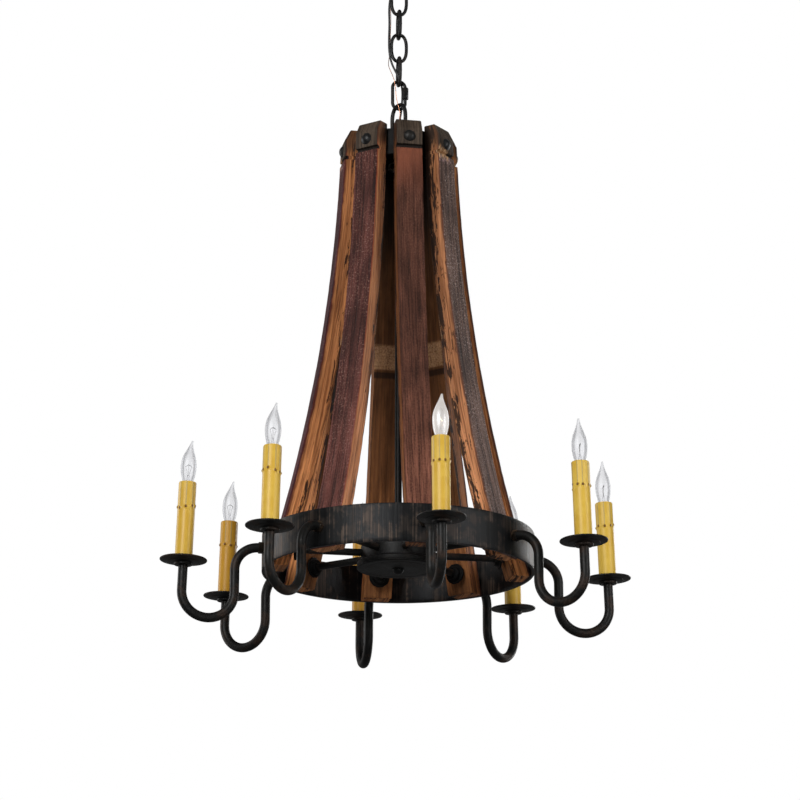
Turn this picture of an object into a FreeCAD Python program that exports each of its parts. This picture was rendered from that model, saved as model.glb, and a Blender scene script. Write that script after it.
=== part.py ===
"""Barrel-stave candle chandelier, hung on a chain from a ceiling canopy.

Millimetres, +Z up. The origin is the centre of the ceiling plane, where the
crossbar and the canopy's rim seat, and everything hangs below it. One stave and
one arm face -Y; the others follow every 45 degrees, anticlockwise from above.
Each repeated piece is drawn once, pointing along +X, and turned into its places.
"""

import FreeCAD
import Part
import math
import os
import re
import Sketcher

SIZES = {
    # ceiling canopy, its crossbar and nipple
    "canopy_radius": 65,
    "canopy_depth": 30,
    "canopy_wall": 1.6,
    "bar_length": 102,
    "bar_width": 20,
    "bar_thick": 2.5,
    "bar_drop": 9,
    "bar_flat": 52,
    "bar_seat": 34,
    "slot_spacing": 79.4,
    "slot_length": 14.3,
    "slot_width": 4.8,
    # threaded pipe used for the nipple, the centre pipe and the wire pipes
    "pipe_radius": 5.15,
    "pipe_bore": 3.5,
    "fit_gap": 0.1,
    "seat_gap": 0.2,
    "nut_across": 17,
    "nut_height": 4,
    # loops: the canopy's and the fixture's
    "loop_wire": 6,
    "loop_width": 36,
    "canopy_loop_length": 44,
    "canopy_collar_radius": 13,
    "canopy_collar_height": 12,
    "canopy_loop_sink": 5,
    "eye_length": 54,
    "eye_collar_radius": 11,
    "eye_collar_height": 14,
    "eye_sink": 6,
    "eye_turn": -60,
    # chain and quick link
    "link_wire": 5,
    "link_width": 27.7,
    "link_length": 48,
    "contact_gap": 0.3,
    "quick_wire": 5,
    "quick_width": 24,
    "quick_length": 48.6,
    "quick_mouth": 5,
    "sleeve_across": 8.7,
    "sleeve_length": 18,
    "sleeve_grip": 1.4,
    "sleeve_fit": 0.06,
    # heights above the foot of the ring
    "stave_height": 662,
    "arm_height": 28,
    # staves
    "stave_count": 8,
    "stave_thick": 26,
    "stave_top_width": 38,
    "stave_foot_width": 42,
    "stave_bolt_face": 84.5,
    "bolt_below_top": 28,
    "bilge_radius": 2550,
    "chime_height": 16,
    "chime_depth": 8,
    "croze_below_bolt": 15.6,
    "croze_width": 5.4,
    "croze_depth": 5,
    # crown
    "crown_height": 40,
    "crown_wall": 4,
    "crown_above_bolt": 22,
    "plate_thick": 4,
    "plate_inset": 2,
    "bolt_radius": 3.95,
    "bolt_head_radius": 8.7,
    "bolt_head_height": 4.6,
    "bolt_length": 42,
    "bolt_nut_across": 12.7,
    "bolt_nut_height": 6.6,
    # ring
    "ring_radius": 194.5,
    "ring_wall": 4.8,
    "ring_height": 54,
    # hub
    "hub_radius": 59,
    "hub_neck_radius": 53,
    "hub_rim_height": 6,
    "hub_top": 41,
    "hub_wall": 2,
    "hub_cover_low": 6,
    "hub_cover_thick": 2.5,
    "finial_radius": 8.5,
    "finial_height": 8,
    "finial_grip": 4,
    # wire pipes and their locknuts on the staves
    "wire_pipe_start": 47,
    "locknut_radius": 15,
    "locknut_flange": 3,
    "locknut_neck_radius": 10.5,
    "locknut_neck": 6,
    # arms
    "collar_across": 15,
    "collar_length": 7,
    "arm_tube_wall": 1.5,
    "arm_elbow": 33,
    "arm_leg": 33.6,
    "arm_bend": 37.2,
    "arm_riser": 35,
    "candle_lean": 2,
    # candle: heights above the arm's end
    "pan_radius": 33.5,
    "pan_floor": 6,
    "pan_rim": 9.5,
    "pan_sheet": 1.6,
    "pan_edge": 2.8,
    "pan_foot_radius": 13,
    "pan_step_radius": 22,
    "cover_radius": 12.7,
    "cover_wall": 1.9,
    "cover_length": 114.3,
    "stem_grip": 11,
    "socket_radius": 8.8,
    "socket_length": 32,
    "socket_recess": 5,
    "lamp_gap": 0.15,
    "socket_floor": 10,
    # bulb
    "bulb_base_radius": 5.95,
    "bulb_base_length": 20,
    "bulb_wall": 0.8,
    "bulb_radius": 11.35,
    "bulb_height": 67,
}

# sizes that follow from the ones above; heights here are true Z
DERIVED = {
    "canopy_collar_low": "0 - canopy_depth - canopy_collar_height",
    "loop_low": "canopy_collar_low + canopy_loop_sink - (canopy_loop_length - loop_wire)",
    "link_1_low": "loop_low + (loop_wire + link_wire)/2 + contact_gap - (link_length - link_wire)",
    "link_step": "link_length - 2*link_wire - contact_gap",
    "link_2_low": "link_1_low - link_step",
    "link_3_low": "link_2_low - link_step",
    "link_4_low": "link_3_low - link_step",
    "quick_low": "link_4_low + (link_wire + quick_wire)/2 + contact_gap - (quick_length - quick_wire)",
    "quick_middle": "quick_low + (quick_length - quick_wire)/2",
    "quick_leg": "(quick_width - quick_wire)/2",
    "quick_straight": "quick_length - quick_width",
    "sleeve_high": "quick_middle + quick_straight/2",
    "eye_top": "quick_low + (quick_wire + loop_wire)/2 + contact_gap",
    "eye_length_in": "eye_length - loop_wire",
    "eye_height": "eye_seat + eye_collar_height - eye_sink + eye_length_in",
    "foot": "eye_top - eye_height",
    "stave_count_turn": "360/stave_count",
    "bolt_height": "stave_height - bolt_below_top",
    # the stave's outer face: an arc through its foot and its bolt
    "stave_foot_face": "sqrt((ring_radius - ring_wall)^2 - (stave_foot_width/2)^2) - seat_gap",
    "stave_run": "stave_foot_face - stave_bolt_face",
    "stave_chord": "sqrt(bolt_height^2 + stave_run^2)",
    "stave_reach": "sqrt(bilge_radius^2 - stave_chord^2/4)",
    "bilge_x": "(stave_foot_face + stave_bolt_face)/2 + stave_reach*bolt_height/stave_chord",
    "bilge_z": "bolt_height/2 + stave_reach*stave_run/stave_chord",
    "inner_bilge": "bilge_radius + stave_thick",
    "stave_top_face": "bilge_x - sqrt(bilge_radius^2 - (stave_height - bilge_z)^2)",
    "crown_top": "bolt_height + crown_above_bolt",
    "crown_radius": "bilge_x - sqrt(inner_bilge^2 - (crown_top - bilge_z)^2) - seat_gap",
    "crown_bore": "crown_radius - crown_wall",
    "plate_top": "crown_top - plate_inset",
    "eye_seat": "plate_top + nut_height",
    "bolt_face": "stave_bolt_face + bolt_head_radius*(bilge_z - bolt_height)/bilge_radius + fit_gap/2",
    "bolt_nut_face": "sqrt(crown_bore^2 - (bolt_nut_across/sqrt(3))^2)",
    "locknut_face":
        "bilge_x - sqrt(inner_bilge^2 - (arm_height + locknut_radius - bilge_z)^2) - seat_gap",
    "hub_plate": "hub_top - hub_wall",
    "finial_low": "hub_cover_low - finial_height",
    "collar_face": "ring_radius + collar_length",
    "arm_leg_x": "collar_face + arm_elbow",
    "bend_x": "arm_leg_x + arm_bend",
    "bend_height": "arm_height - arm_elbow - arm_leg",
    "arm_tube_bore": "pipe_radius + fit_gap",
    "arm_tube_radius": "arm_tube_bore + arm_tube_wall",
    # candle heights above the centre of the arm's U bend, along the leaning riser
    "pan_seat": "arm_riser",
    "cover_low": "arm_riser + pan_floor",
    "cover_high": "cover_low + cover_length",
    "socket_high": "cover_high - socket_recess",
    "socket_low": "socket_high - socket_length",
    "stem_low": "arm_riser - stem_grip",
    "stem_high": "socket_low + stem_grip/2",
    "bulb_neck": "socket_high + fit_gap",
    "bulb_base_low": "bulb_neck - bulb_base_length",
    "socket_bore": "bulb_base_radius + lamp_gap",
}

AXIS_X = FreeCAD.Vector(1, 0, 0)
AXIS_Y = FreeCAD.Vector(0, 1, 0)
AXIS_Z = FreeCAD.Vector(0, 0, 1)

# free cords: hand-chosen route points, from the canopy's loop to the fixture's
SUPPLY_CORD_RADIUS = 1.6
SUPPLY_CORD_ROUTE = [
    (1.2, 0, -38), (0.2, 0.9, -51), (-5.4, 4.9, -63.5), (-11.6, 7.3, -79), (-14.0, 7.1, -100),
    (-13.2, 6.3, -124), (-14.1, 6.4, -149), (-13.6, 6.9, -171), (-9.9, 6.4, -189),
    (-3.6, 5.2, -202.5), (2.9, 5.0, -214.5), (6.7, 7.2, -228.5), (6.9, 8.4, -244.5),
    (5.6, 7.9, -260), (3.0, 4.9, -275), (0.5, 1.6, -288.5), (0.2, 1.2, -302),
]
GROUND_WIRE_RADIUS = 0.5
GROUND_WIRE_ROUTE = [
    (-2.6, 0, -38), (-3.4, 1.0, -50), (-7.8, 7.9, -63), (-10.6, 11.0, -79), (-10.9, 10.4, -98),
    (-10.3, 9.7, -120), (-11.3, 9.9, -142), (-10.8, 10.5, -163), (-13.4, 9.0, -180),
    (-15.4, 5.0, -193), (-12.4, -1.2, -205), (-8.6, -4.6, -217), (-5.9, -5.3, -231),
    (-5.4, -5.4, -246), (-3.0, -6.6, -258), (0.4, -6.4, -269), (1.2, -3.9, -280),
    (-0.2, -2.4, -290), (0.1, -2.2, -302),
]

doc = FreeCAD.newDocument("chandelier")
sheet = doc.addObject("Spreadsheet::Sheet", "sizes")
for row, (name, value) in enumerate(SIZES.items(), 1):
    sheet.set(f"A{row}", name)
    sheet.set(f"B{row}", str(value))
    sheet.setAlias(f"B{row}", name)
doc.recompute()


# ---------------------------------------------------------------- sizes
def formula(text):
    """An expression with each derived size written out and each driving size read from the sheet."""
    def cell(found):
        word = found.group()
        if word in DERIVED:
            return "(" + formula(DERIVED[word]) + ")"
        return "sizes." + word if word in SIZES else word
    return re.sub(r"[a-z][a-z_0-9]*", cell, str(text))


def number(text):
    return float(sheet.evalExpression(formula(text)))


def bind(thing, **sizes):
    for prop, text in sizes.items():
        thing.setExpression(prop, formula(text))
    return thing


def place(thing, x="0", y="0", z="0", axis=AXIS_Z, turn=0):
    """Puts a piece at x, y, z and turns it about an axis by an angle or an expression."""
    thing.Placement = FreeCAD.Placement(FreeCAD.Vector(), FreeCAD.Rotation(axis, number(turn)))
    for letter, text in zip("xyz", (x, y, z)):
        if text != "0":
            thing.setExpression(f"Placement.Base.{letter}", formula(text))
    if isinstance(turn, str):
        thing.setExpression("Placement.Rotation.Angle", formula(turn))
    return thing


# ---------------------------------------------------------------- solids
def cylinder(name, radius, height, **where):
    return place(bind(doc.addObject("Part::Cylinder", name), Radius=radius, Height=height), **where)


def cone(name, low_radius, high_radius, height, **where):
    solid = doc.addObject("Part::Cone", name)
    return place(bind(solid, Radius1=low_radius, Radius2=high_radius, Height=height), **where)


def ball(name, radius, **where):
    return place(bind(doc.addObject("Part::Sphere", name), Radius=radius), **where)


def block(name, length, width, height, **where):
    solid = doc.addObject("Part::Box", name)
    return place(bind(solid, Length=length, Width=width, Height=height), **where)


def hexagon(name, across, height, **where):
    """A hexagonal bar of that size across its flats."""
    solid = doc.addObject("Part::Prism", name)
    solid.Polygon = 6
    return place(bind(solid, Circumradius=f"({across})/sqrt(3)", Height=height), **where)


def bend(name, radius, wire, angle, **where):
    """Part of a torus: a round bar bent about the local Z axis, starting at local +X."""
    solid = doc.addObject("Part::Torus", name)
    return place(bind(solid, Radius1=radius, Radius2=wire, Angle3=angle), **where)


def fuse(name, *parts):
    whole = doc.addObject("Part::MultiFuse", name)
    whole.Shapes = list(parts)
    return whole


def cut(name, base, *tools):
    whole = doc.addObject("Part::Cut", name)
    whole.Base = base
    whole.Tool = tools[0] if len(tools) == 1 else fuse(name + "_tools", *tools)
    return whole


def common(name, *parts):
    whole = doc.addObject("Part::MultiCommon", name)
    whole.Shapes = list(parts)
    return whole


def pipe(name, radius, bore, height, **where):
    """A straight tube; where places it, and the bore runs right through."""
    outer = cylinder(name + "_outside", radius, height)
    inner = cylinder(name + "_bore", bore, height)
    return place(cut(name, outer, inner), **where)


def nut(name, across, bore, height, **where):
    return place(
        cut(name, hexagon(name + "_hexagon", across, height), cylinder(name + "_bore", bore, height)),
        **where,
    )


# ---------------------------------------------------------------- sketches
def on_plane(body, role, name):
    sketch = body.newObject("Sketcher::SketchObject", name)
    plane = next(f for f in body.Origin.OriginFeatures if f.Role == role)
    sketch.AttachmentSupport = [(plane, "")]
    sketch.MapMode = "FlatFace"
    return sketch


def pin_point(sketch, line, end, x, y):
    """Holds one end of a line at x, y: expressions, or "0" to keep it on the axis."""
    for kind, text, axis in (("DistanceX", x, -2), ("DistanceY", y, -1)):
        if text == "0":
            sketch.addConstraint(Sketcher.Constraint("PointOnObject", line, end, axis))
        else:
            rule = Sketcher.Constraint(kind, -1, 1, line, end, number(text))
            index = sketch.addConstraint(rule)
            sketch.setExpression(f"Constraints[{index}]", formula(text))


def outline(body, role, name, corners):
    """A closed sketch of straight lines through corners, each an (x, y) pair of expressions."""
    sketch = on_plane(body, role, name)
    spots = [FreeCAD.Vector(number(x), number(y), 0) for x, y in corners]
    for here, there in zip(spots, spots[1:] + spots[:1]):
        sketch.addGeometry(Part.LineSegment(here, there))
    for line in range(len(spots)):
        following = (line + 1) % len(spots)
        sketch.addConstraint(Sketcher.Constraint("Coincident", line, 2, following, 1))
    for line, (x, y) in enumerate(corners):
        pin_point(sketch, line, 1, x, y)
    return sketch


def hole_sketch(body, role, name, radius, x, y):
    sketch = on_plane(body, role, name)
    spot = FreeCAD.Vector(number(x), number(y), 0)
    sketch.addGeometry(Part.Circle(spot, AXIS_Z, number(radius)))
    pin_point(sketch, 0, 3, x, y)
    index = sketch.addConstraint(Sketcher.Constraint("Radius", 0, number(radius)))
    sketch.setExpression(f"Constraints[{index}]", formula(radius))
    return sketch


def slab(body, name, sketch, width):
    """A sketch made solid, half its width to each side."""
    pad = body.newObject("PartDesign::Pad", name)
    pad.Profile = sketch
    pad.SideType = "Symmetric"
    return bind(pad, Length=width)


def notch(body, name, sketch):
    """A sketch cut right through, both ways."""
    pocket = body.newObject("PartDesign::Pocket", name)
    pocket.Profile = sketch
    pocket.SideType = "Symmetric"
    pocket.Type = "ThroughAll"
    return pocket


def turned(name, corners):
    """A PartDesign body turned about the Z axis from an outline of (radius, height) corners."""
    body = doc.addObject("PartDesign::Body", name)
    sketch = outline(body, "XZ_Plane", name + "_outline", corners)
    spin = body.newObject("PartDesign::Revolution", name + "_spin")
    spin.Profile = sketch
    spin.ReferenceAxis = (sketch, ["V_Axis"])
    spin.Angle = 360
    return body


# ---------------------------------------------------------------- nodes
nodes = []


def keep(thing, label):
    """Makes a piece one of the chandelier's named sub-parts."""
    thing.Label = label
    nodes.append(thing)
    return thing


def copy_at(master, position):
    """A copy of a piece drawn along +X, turned to its numbered place: 0 faces -Y."""
    copy = doc.addObject("Part::Compound", master.Name + "_copy")
    copy.Links = [master]
    return place(copy, turn=f"{position}*stave_count_turn - 90")


def each(master, label):
    """One node for each place round the chandelier."""
    for position in range(int(number("stave_count"))):
        keep(copy_at(master, position), f"{label}_{position + 1}")


def all_round(master, label):
    """One node holding a copy at every place."""
    group = doc.addObject("Part::Compound", label)
    group.Links = [copy_at(master, position) for position in range(int(number("stave_count")))]
    keep(group, label)


# ---------------------------------------------------------------- ceiling fittings
def make_canopy():
    """A shallow spun dome, open at the ceiling, with a hole for the nipple."""
    dome = "(canopy_radius^2 + canopy_depth^2)/(2*canopy_depth)"
    centre = f"{dome} - canopy_depth"
    disc = cylinder("canopy_disc", "canopy_radius", "canopy_depth", z="0 - canopy_depth")
    outside = common("canopy_outside", ball("canopy_dome", dome, z=centre), disc)
    inside = ball("canopy_inside", f"{dome} - canopy_wall", z=centre)
    hole = cylinder("canopy_hole", "pipe_radius + fit_gap", "canopy_depth", z="0 - canopy_depth")
    keep(cut("canopy", outside, inside, hole), "ceiling_canopy")


def make_crossbar():
    """A flat bar with a dropped middle and two slots for the ceiling box's screws."""
    body = doc.addObject("PartDesign::Body", "bar")
    skew = "bar_thick*0.4"
    corners = [
        ("0 - bar_length/2", "0"), ("0 - bar_flat/2", "0"), ("0 - bar_seat/2", "0 - bar_drop"),
        ("bar_seat/2", "0 - bar_drop"), ("bar_flat/2", "0"), ("bar_length/2", "0"),
        ("bar_length/2", "0 - bar_thick"), (f"bar_flat/2 + {skew}", "0 - bar_thick"),
        (f"bar_seat/2 + {skew}", "0 - bar_drop - bar_thick"),
        (f"0 - bar_seat/2 - {skew}", "0 - bar_drop - bar_thick"),
        (f"0 - bar_flat/2 - {skew}", "0 - bar_thick"), ("0 - bar_length/2", "0 - bar_thick"),
    ]
    slab(body, "bar_pad", outline(body, "XZ_Plane", "bar_outline", corners), "bar_width")
    low = "0 - bar_thick"
    tools = [cylinder("bar_hole", "pipe_radius + fit_gap", "2*bar_drop", z="0 - 2*bar_drop")]
    for side in ("-1", "1"):
        middle = f"{side}*slot_spacing/2"
        run = "(slot_length - slot_width)"
        tools.append(block("slot", run, "slot_width", "bar_thick",
                           x=f"{middle} - {run}/2", y="0 - slot_width/2", z=low))
        for end in (f"{middle} - {run}/2", f"{middle} + {run}/2"):
            tools.append(cylinder("slot_end", "slot_width/2", "bar_thick", x=end, z=low))
    keep(cut("bar_with_slots", body, *tools), "crossbar")


def make_nipple():
    top = "nut_height - bar_drop + fit_gap"
    low = "canopy_collar_low + 4"
    length = f"{top} - ({low})"
    keep(pipe("nipple", "pipe_radius", "pipe_bore", length, z=low), "canopy_nipple")
    nuts = doc.addObject("Part::Compound", "bar_nuts")
    nuts.Links = [
        nut("nut_over_bar", "nut_across", "pipe_radius + fit_gap/2", "nut_height", z="0 - bar_drop"),
        nut("nut_under_bar", "nut_across", "pipe_radius + fit_gap/2", "nut_height",
            z="0 - bar_drop - bar_thick - nut_height"),
    ]
    keep(nuts, "canopy_nuts")


# ---------------------------------------------------------------- loops and chain
def link(name, width, length, wire, low, turn="0"):
    """An oval ring of round bar standing on the wire centre at height low, in the local XZ plane."""
    radius = f"({width} - {wire})/2"
    straight = f"({length} - {width})"
    lower = f"{low} + {radius}"
    upper = f"{lower} + {straight}"
    parts = [
        bend(name + "_top", radius, f"{wire}/2", "180", z=upper, axis=AXIS_X, turn=90),
        bend(name + "_foot", radius, f"{wire}/2", "180", z=lower, axis=AXIS_X, turn=-90),
        cylinder(name + "_left", f"{wire}/2", straight, x=f"0 - {radius}", z=lower),
        cylinder(name + "_right", f"{wire}/2", straight, x=radius, z=lower),
    ]
    return place(fuse(name, *parts), turn=turn)


def make_canopy_loop():
    """The loop whose collar screws up the nipple and holds the canopy; the cord comes out of it."""
    collar_low = "canopy_collar_low"
    ring = link("hang_ring", "loop_width", "canopy_loop_length", "loop_wire", "loop_low", turn="90")
    collar = cylinder("hang_collar", "canopy_collar_radius", "canopy_collar_height", z=collar_low)
    thread = cylinder("hang_thread", "pipe_radius + fit_gap/2", "canopy_collar_height",
                      z=f"{collar_low} + 4")
    wireway = cylinder("hang_wireway", "pipe_bore", "canopy_collar_height", z=collar_low)
    keep(cut("hang_loop", fuse("hang_whole", ring, collar), thread, wireway), "canopy_loop")


def make_chain():
    for count in (1, 2, 3, 4):
        flat = "90" if count % 2 == 0 else "0"
        ring = link(f"chain_{count}", "link_width", "link_length", "link_wire",
                    f"link_{count}_low", turn=flat)
        keep(ring, f"chain_link_{count}")


def make_quick_link():
    """The link that opens: a gap in its right leg, and a sleeve nut that slides down to open it."""
    ring = link("quick_ring", "quick_width", "quick_length", "quick_wire", "quick_low")
    mouth = cylinder("quick_gap", "quick_wire", "quick_mouth", x="quick_leg",
                     z="sleeve_high - sleeve_grip - quick_mouth")
    keep(cut("quick", ring, mouth), "quick_link")
    sleeve = nut("sleeve", "sleeve_across", "quick_wire/2 + sleeve_fit", "sleeve_length",
                 x="quick_leg", z="sleeve_high - sleeve_length", turn=30)
    keep(sleeve, "quick_link_nut")


def make_fixture_loop():
    """The eye on top of the crown: a cast ring on a collar, bored for the pipe and the cord."""
    seat = "foot + eye_seat"
    low = "eye_top - eye_length_in"
    ring = link("eye_ring", "loop_width", "eye_length", "loop_wire", low, turn="eye_turn")
    collar = cylinder("eye_collar", "eye_collar_radius", "eye_collar_height", z=seat)
    thread = cylinder("eye_thread", "pipe_radius + fit_gap/2", "eye_collar_height - 5", z=seat)
    wireway = cylinder("eye_wireway", "pipe_bore", "eye_collar_height", z=seat)
    keep(cut("eye", fuse("eye_whole", ring, collar), thread, wireway), "fixture_loop")


# ---------------------------------------------------------------- crown, pipe and hub
def make_crown():
    low = "foot + crown_top - crown_height"
    ring = pipe("crown_band", "crown_radius", "crown_bore", "crown_height", z=low)
    drill = cylinder("crown_drill", "bolt_radius + fit_gap", "crown_radius",
                     z="foot + bolt_height", axis=AXIS_Y, turn=90)
    holes = doc.addObject("Part::Compound", "crown_holes")
    holes.Links = [copy_at(drill, position) for position in range(int(number("stave_count")))]
    keep(cut("crown", ring, holes), "crown_ring")
    plate = pipe("plate", "crown_bore - fit_gap", "pipe_radius + fit_gap", "plate_thick",
                 z="foot + plate_top - plate_thick")
    keep(plate, "crown_plate")


def make_crown_bolts():
    """Round-head bolts through each stave and the crown, nutted inside."""
    height = "bolt_head_height"
    dome = "(bolt_head_radius^2 + bolt_head_height^2)/(2*bolt_head_height)"
    sphere = ball("bolt_dome", dome, z=f"{height} - {dome}")
    head = common("bolt_head", sphere, cylinder("bolt_disc", "bolt_head_radius", height))
    shank = cylinder("bolt_shank", "bolt_radius", "bolt_length", z="0 - bolt_length")
    bolt = place(fuse("bolt", head, shank), x="bolt_face", z="foot + bolt_height", axis=AXIS_Y, turn=90)
    all_round(bolt, "crown_bolts")
    inner = nut("bolt_nut", "bolt_nut_across", "bolt_radius + fit_gap/2", "bolt_nut_height",
                x="bolt_nut_face - bolt_nut_height", z="foot + bolt_height", axis=AXIS_Y, turn=90)
    all_round(inner, "crown_nuts")


def make_centre_pipe():
    low = "foot + hub_cover_low - finial_grip"
    high = "foot + eye_seat + eye_collar_height - 5 - fit_gap"
    keep(pipe("centre", "pipe_radius", "pipe_bore", f"{high} - ({low})", z=low), "centre_pipe")
    nuts = doc.addObject("Part::Compound", "centre_nuts")
    bore = "pipe_radius + fit_gap/2"
    nuts.Links = [
        nut("nut_over_plate", "nut_across", bore, "nut_height", z="foot + plate_top"),
        nut("nut_under_plate", "nut_across", bore, "nut_height",
            z="foot + plate_top - plate_thick - nut_height"),
        nut("nut_over_hub", "nut_across", bore, "nut_height", z="foot + hub_top"),
        nut("nut_in_hub", "nut_across", bore, "nut_height", z="foot + hub_plate - nut_height"),
    ]
    keep(nuts, "pipe_nuts")


def make_hub():
    """The wiring box: a stepped pan under the staves' feet, closed by a flat cover and a finial."""
    low = "hub_cover_low + hub_cover_thick"
    step = f"{low} + hub_rim_height"
    body = turned("hub", [
        ("hub_radius - hub_wall", low), ("hub_radius", low), ("hub_radius", step),
        ("hub_neck_radius", f"{step} + 3"), ("hub_neck_radius", "hub_top - 2"),
        ("hub_neck_radius - 2", "hub_top"), ("pipe_radius + fit_gap", "hub_top"),
        ("pipe_radius + fit_gap", "hub_plate"), ("hub_neck_radius - hub_wall", "hub_plate"),
        ("hub_neck_radius - hub_wall", f"{step} + 3 - hub_wall"),
        ("hub_radius - hub_wall", f"{step} - hub_wall"),
    ])
    drill = cylinder("hub_drill", "pipe_radius + fit_gap", "hub_radius", z="arm_height",
                     axis=AXIS_Y, turn=90)
    holes = doc.addObject("Part::Compound", "hub_holes")
    holes.Links = [copy_at(drill, position) for position in range(int(number("stave_count")))]
    keep(place(cut("hub_drilled", body, holes), z="foot"), "hub_body")
    cover = turned("cover_plate", [
        ("pipe_radius + fit_gap", "hub_cover_low"), ("hub_radius - 1", "hub_cover_low"),
        ("hub_radius", "hub_cover_low + 1"), ("hub_radius", low), ("pipe_radius + fit_gap", low),
    ])
    keep(place(cover, z="foot"), "hub_cover")
    dome = ball("finial_ball", "finial_radius", z="finial_low + finial_radius")
    barrel = cylinder("finial_barrel", "finial_radius", "finial_height - seat_gap", z="finial_low")
    socket = cylinder("finial_bore", "pipe_radius + fit_gap/2", "finial_grip + 1",
                      z="hub_cover_low - finial_grip - seat_gap")
    finial = cut("finial_cap", common("finial_solid", dome, barrel), socket)
    keep(place(finial, z="foot"), "finial")


# ---------------------------------------------------------------- ring, wire pipes and locknuts
def make_ring():
    band = pipe("band", "ring_radius", "ring_radius - ring_wall", "ring_height")
    drill = cylinder("ring_drill", "pipe_radius + fit_gap", "ring_radius + ring_wall",
                     z="arm_height", axis=AXIS_Y, turn=90)
    holes = doc.addObject("Part::Compound", "ring_holes")
    holes.Links = [copy_at(drill, position) for position in range(int(number("stave_count")))]
    keep(place(cut("band_drilled", band, holes), z="foot"), "lower_ring")


def make_wire_pipes():
    """The pipes that carry the leads and tie hub, stave, ring and arm together."""
    end = "collar_face - seat_gap"
    tube = pipe("wire_pipe", "pipe_radius", "pipe_bore", f"{end} - wire_pipe_start",
                x="wire_pipe_start", z="foot + arm_height", axis=AXIS_Y, turn=90)
    all_round(tube, "spokes")
    bore = "pipe_radius + fit_gap/2"
    flange = turned("locknut", [
        (bore, "0"), ("locknut_neck_radius - 1", "0"), ("locknut_neck_radius", "1"),
        ("locknut_neck_radius", "locknut_neck"), ("locknut_radius - 1", "locknut_neck"),
        ("locknut_radius", "locknut_neck + 1"),
        ("locknut_radius", "locknut_neck + locknut_flange"), (bore, "locknut_neck + locknut_flange"),
    ])
    place(flange, x="locknut_face - locknut_neck - locknut_flange", z="foot + arm_height",
          axis=AXIS_Y, turn=90)
    all_round(flange, "stave_locknuts")
    collar = nut("arm_collar", "collar_across", bore, "collar_length",
                 x="ring_radius", z="foot + arm_height", axis=AXIS_Y, turn=90)
    all_round(collar, "arm_collars")


# ---------------------------------------------------------------- staves
def stave_side(body):
    """The stave's side view: two arcs about one centre, cut level at the foot and the top."""
    sketch = on_plane(body, "XZ_Plane", "stave_side")
    centre = FreeCAD.Vector(number("bilge_x"), number("bilge_z"), 0)
    ends = []
    for radius in ("bilge_radius", "inner_bilge"):
        reach = number(radius)
        angles = [
            math.pi - math.asin((number(height) - centre.y) / reach) for height in ("stave_height", "0")
        ]
        arc = Part.ArcOfCircle(Part.Circle(centre, AXIS_Z, reach), *angles)
        sketch.addGeometry(arc)
        ends.append((arc.StartPoint, arc.EndPoint))
    (outer_top, outer_foot), (inner_top, inner_foot) = ends
    sketch.addGeometry(Part.LineSegment(outer_top, inner_top))
    sketch.addGeometry(Part.LineSegment(inner_foot, outer_foot))
    joins = ((2, 1, 0, 1), (2, 2, 1, 1), (3, 1, 1, 2), (3, 2, 0, 2), (1, 3, 0, 3))
    for first, first_end, second, second_end in joins:
        rule = Sketcher.Constraint("Coincident", first, first_end, second, second_end)
        sketch.addConstraint(rule)
    sketch.addConstraint(Sketcher.Constraint("PointOnObject", 0, 2, -1))
    sketch.addConstraint(Sketcher.Constraint("Horizontal", 2))
    sketch.addConstraint(Sketcher.Constraint("Horizontal", 3))
    pin_point(sketch, 0, 3, "bilge_x", "bilge_z")
    for rule, text in (
        (("Radius", 0), "bilge_radius"),
        (("Radius", 1), "inner_bilge"),
        (("DistanceY", -1, 1, 0, 1), "stave_height"),
    ):
        index = sketch.addConstraint(Sketcher.Constraint(*rule, number(text)))
        sketch.setExpression(f"Constraints[{index}]", formula(text))
    return sketch


def make_staves():
    """Reused barrel staves: jointed narrower at the top, with chime, croze groove and bolt hole."""
    body = doc.addObject("PartDesign::Body", "stave")
    slab(body, "stave_pad", stave_side(body), "stave_foot_width")
    past = "stave_height + 1"
    for side in ("-1", "1"):
        corners = [
            (f"{side}*stave_foot_width/2", "0"),
            (f"{side}*stave_top_width/2", "stave_height"),
            (f"{side}*stave_top_width/2", past),
            (f"{side}*(stave_foot_width/2 + 1)", past),
            (f"{side}*(stave_foot_width/2 + 1)", "0"),
        ]
        name = "stave_edge_left" if side == "-1" else "stave_edge_right"
        notch(body, name, outline(body, "YZ_Plane", name + "_sketch", corners))
    clear = "stave_bolt_face + croze_depth"
    croze = "(bolt_height - croze_below_bolt)"
    notch(body, "croze", outline(body, "XZ_Plane", "croze_sketch", [
        ("stave_bolt_face - croze_depth", f"{croze} - croze_width/2"),
        (clear, f"{croze} - croze_width/2 - 1"), (clear, f"{croze} + croze_width/2 + 1"),
        ("stave_bolt_face - croze_depth", f"{croze} + croze_width/2"),
    ]))
    notch(body, "chime", outline(body, "XZ_Plane", "chime_sketch", [
        ("stave_top_face - chime_depth", past), ("stave_top_face - chime_depth", "stave_height"),
        ("stave_top_face + fit_gap", "stave_height - chime_height"), (clear, past),
    ]))
    notch(body, "bolt_hole", hole_sketch(
        body, "YZ_Plane", "bolt_hole_sketch", "bolt_radius + fit_gap", "0", "bolt_height"))
    notch(body, "pipe_hole", hole_sketch(
        body, "YZ_Plane", "pipe_hole_sketch", "pipe_radius + fit_gap", "0", "arm_height"))
    each(place(body, z="foot"), "stave")


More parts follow.
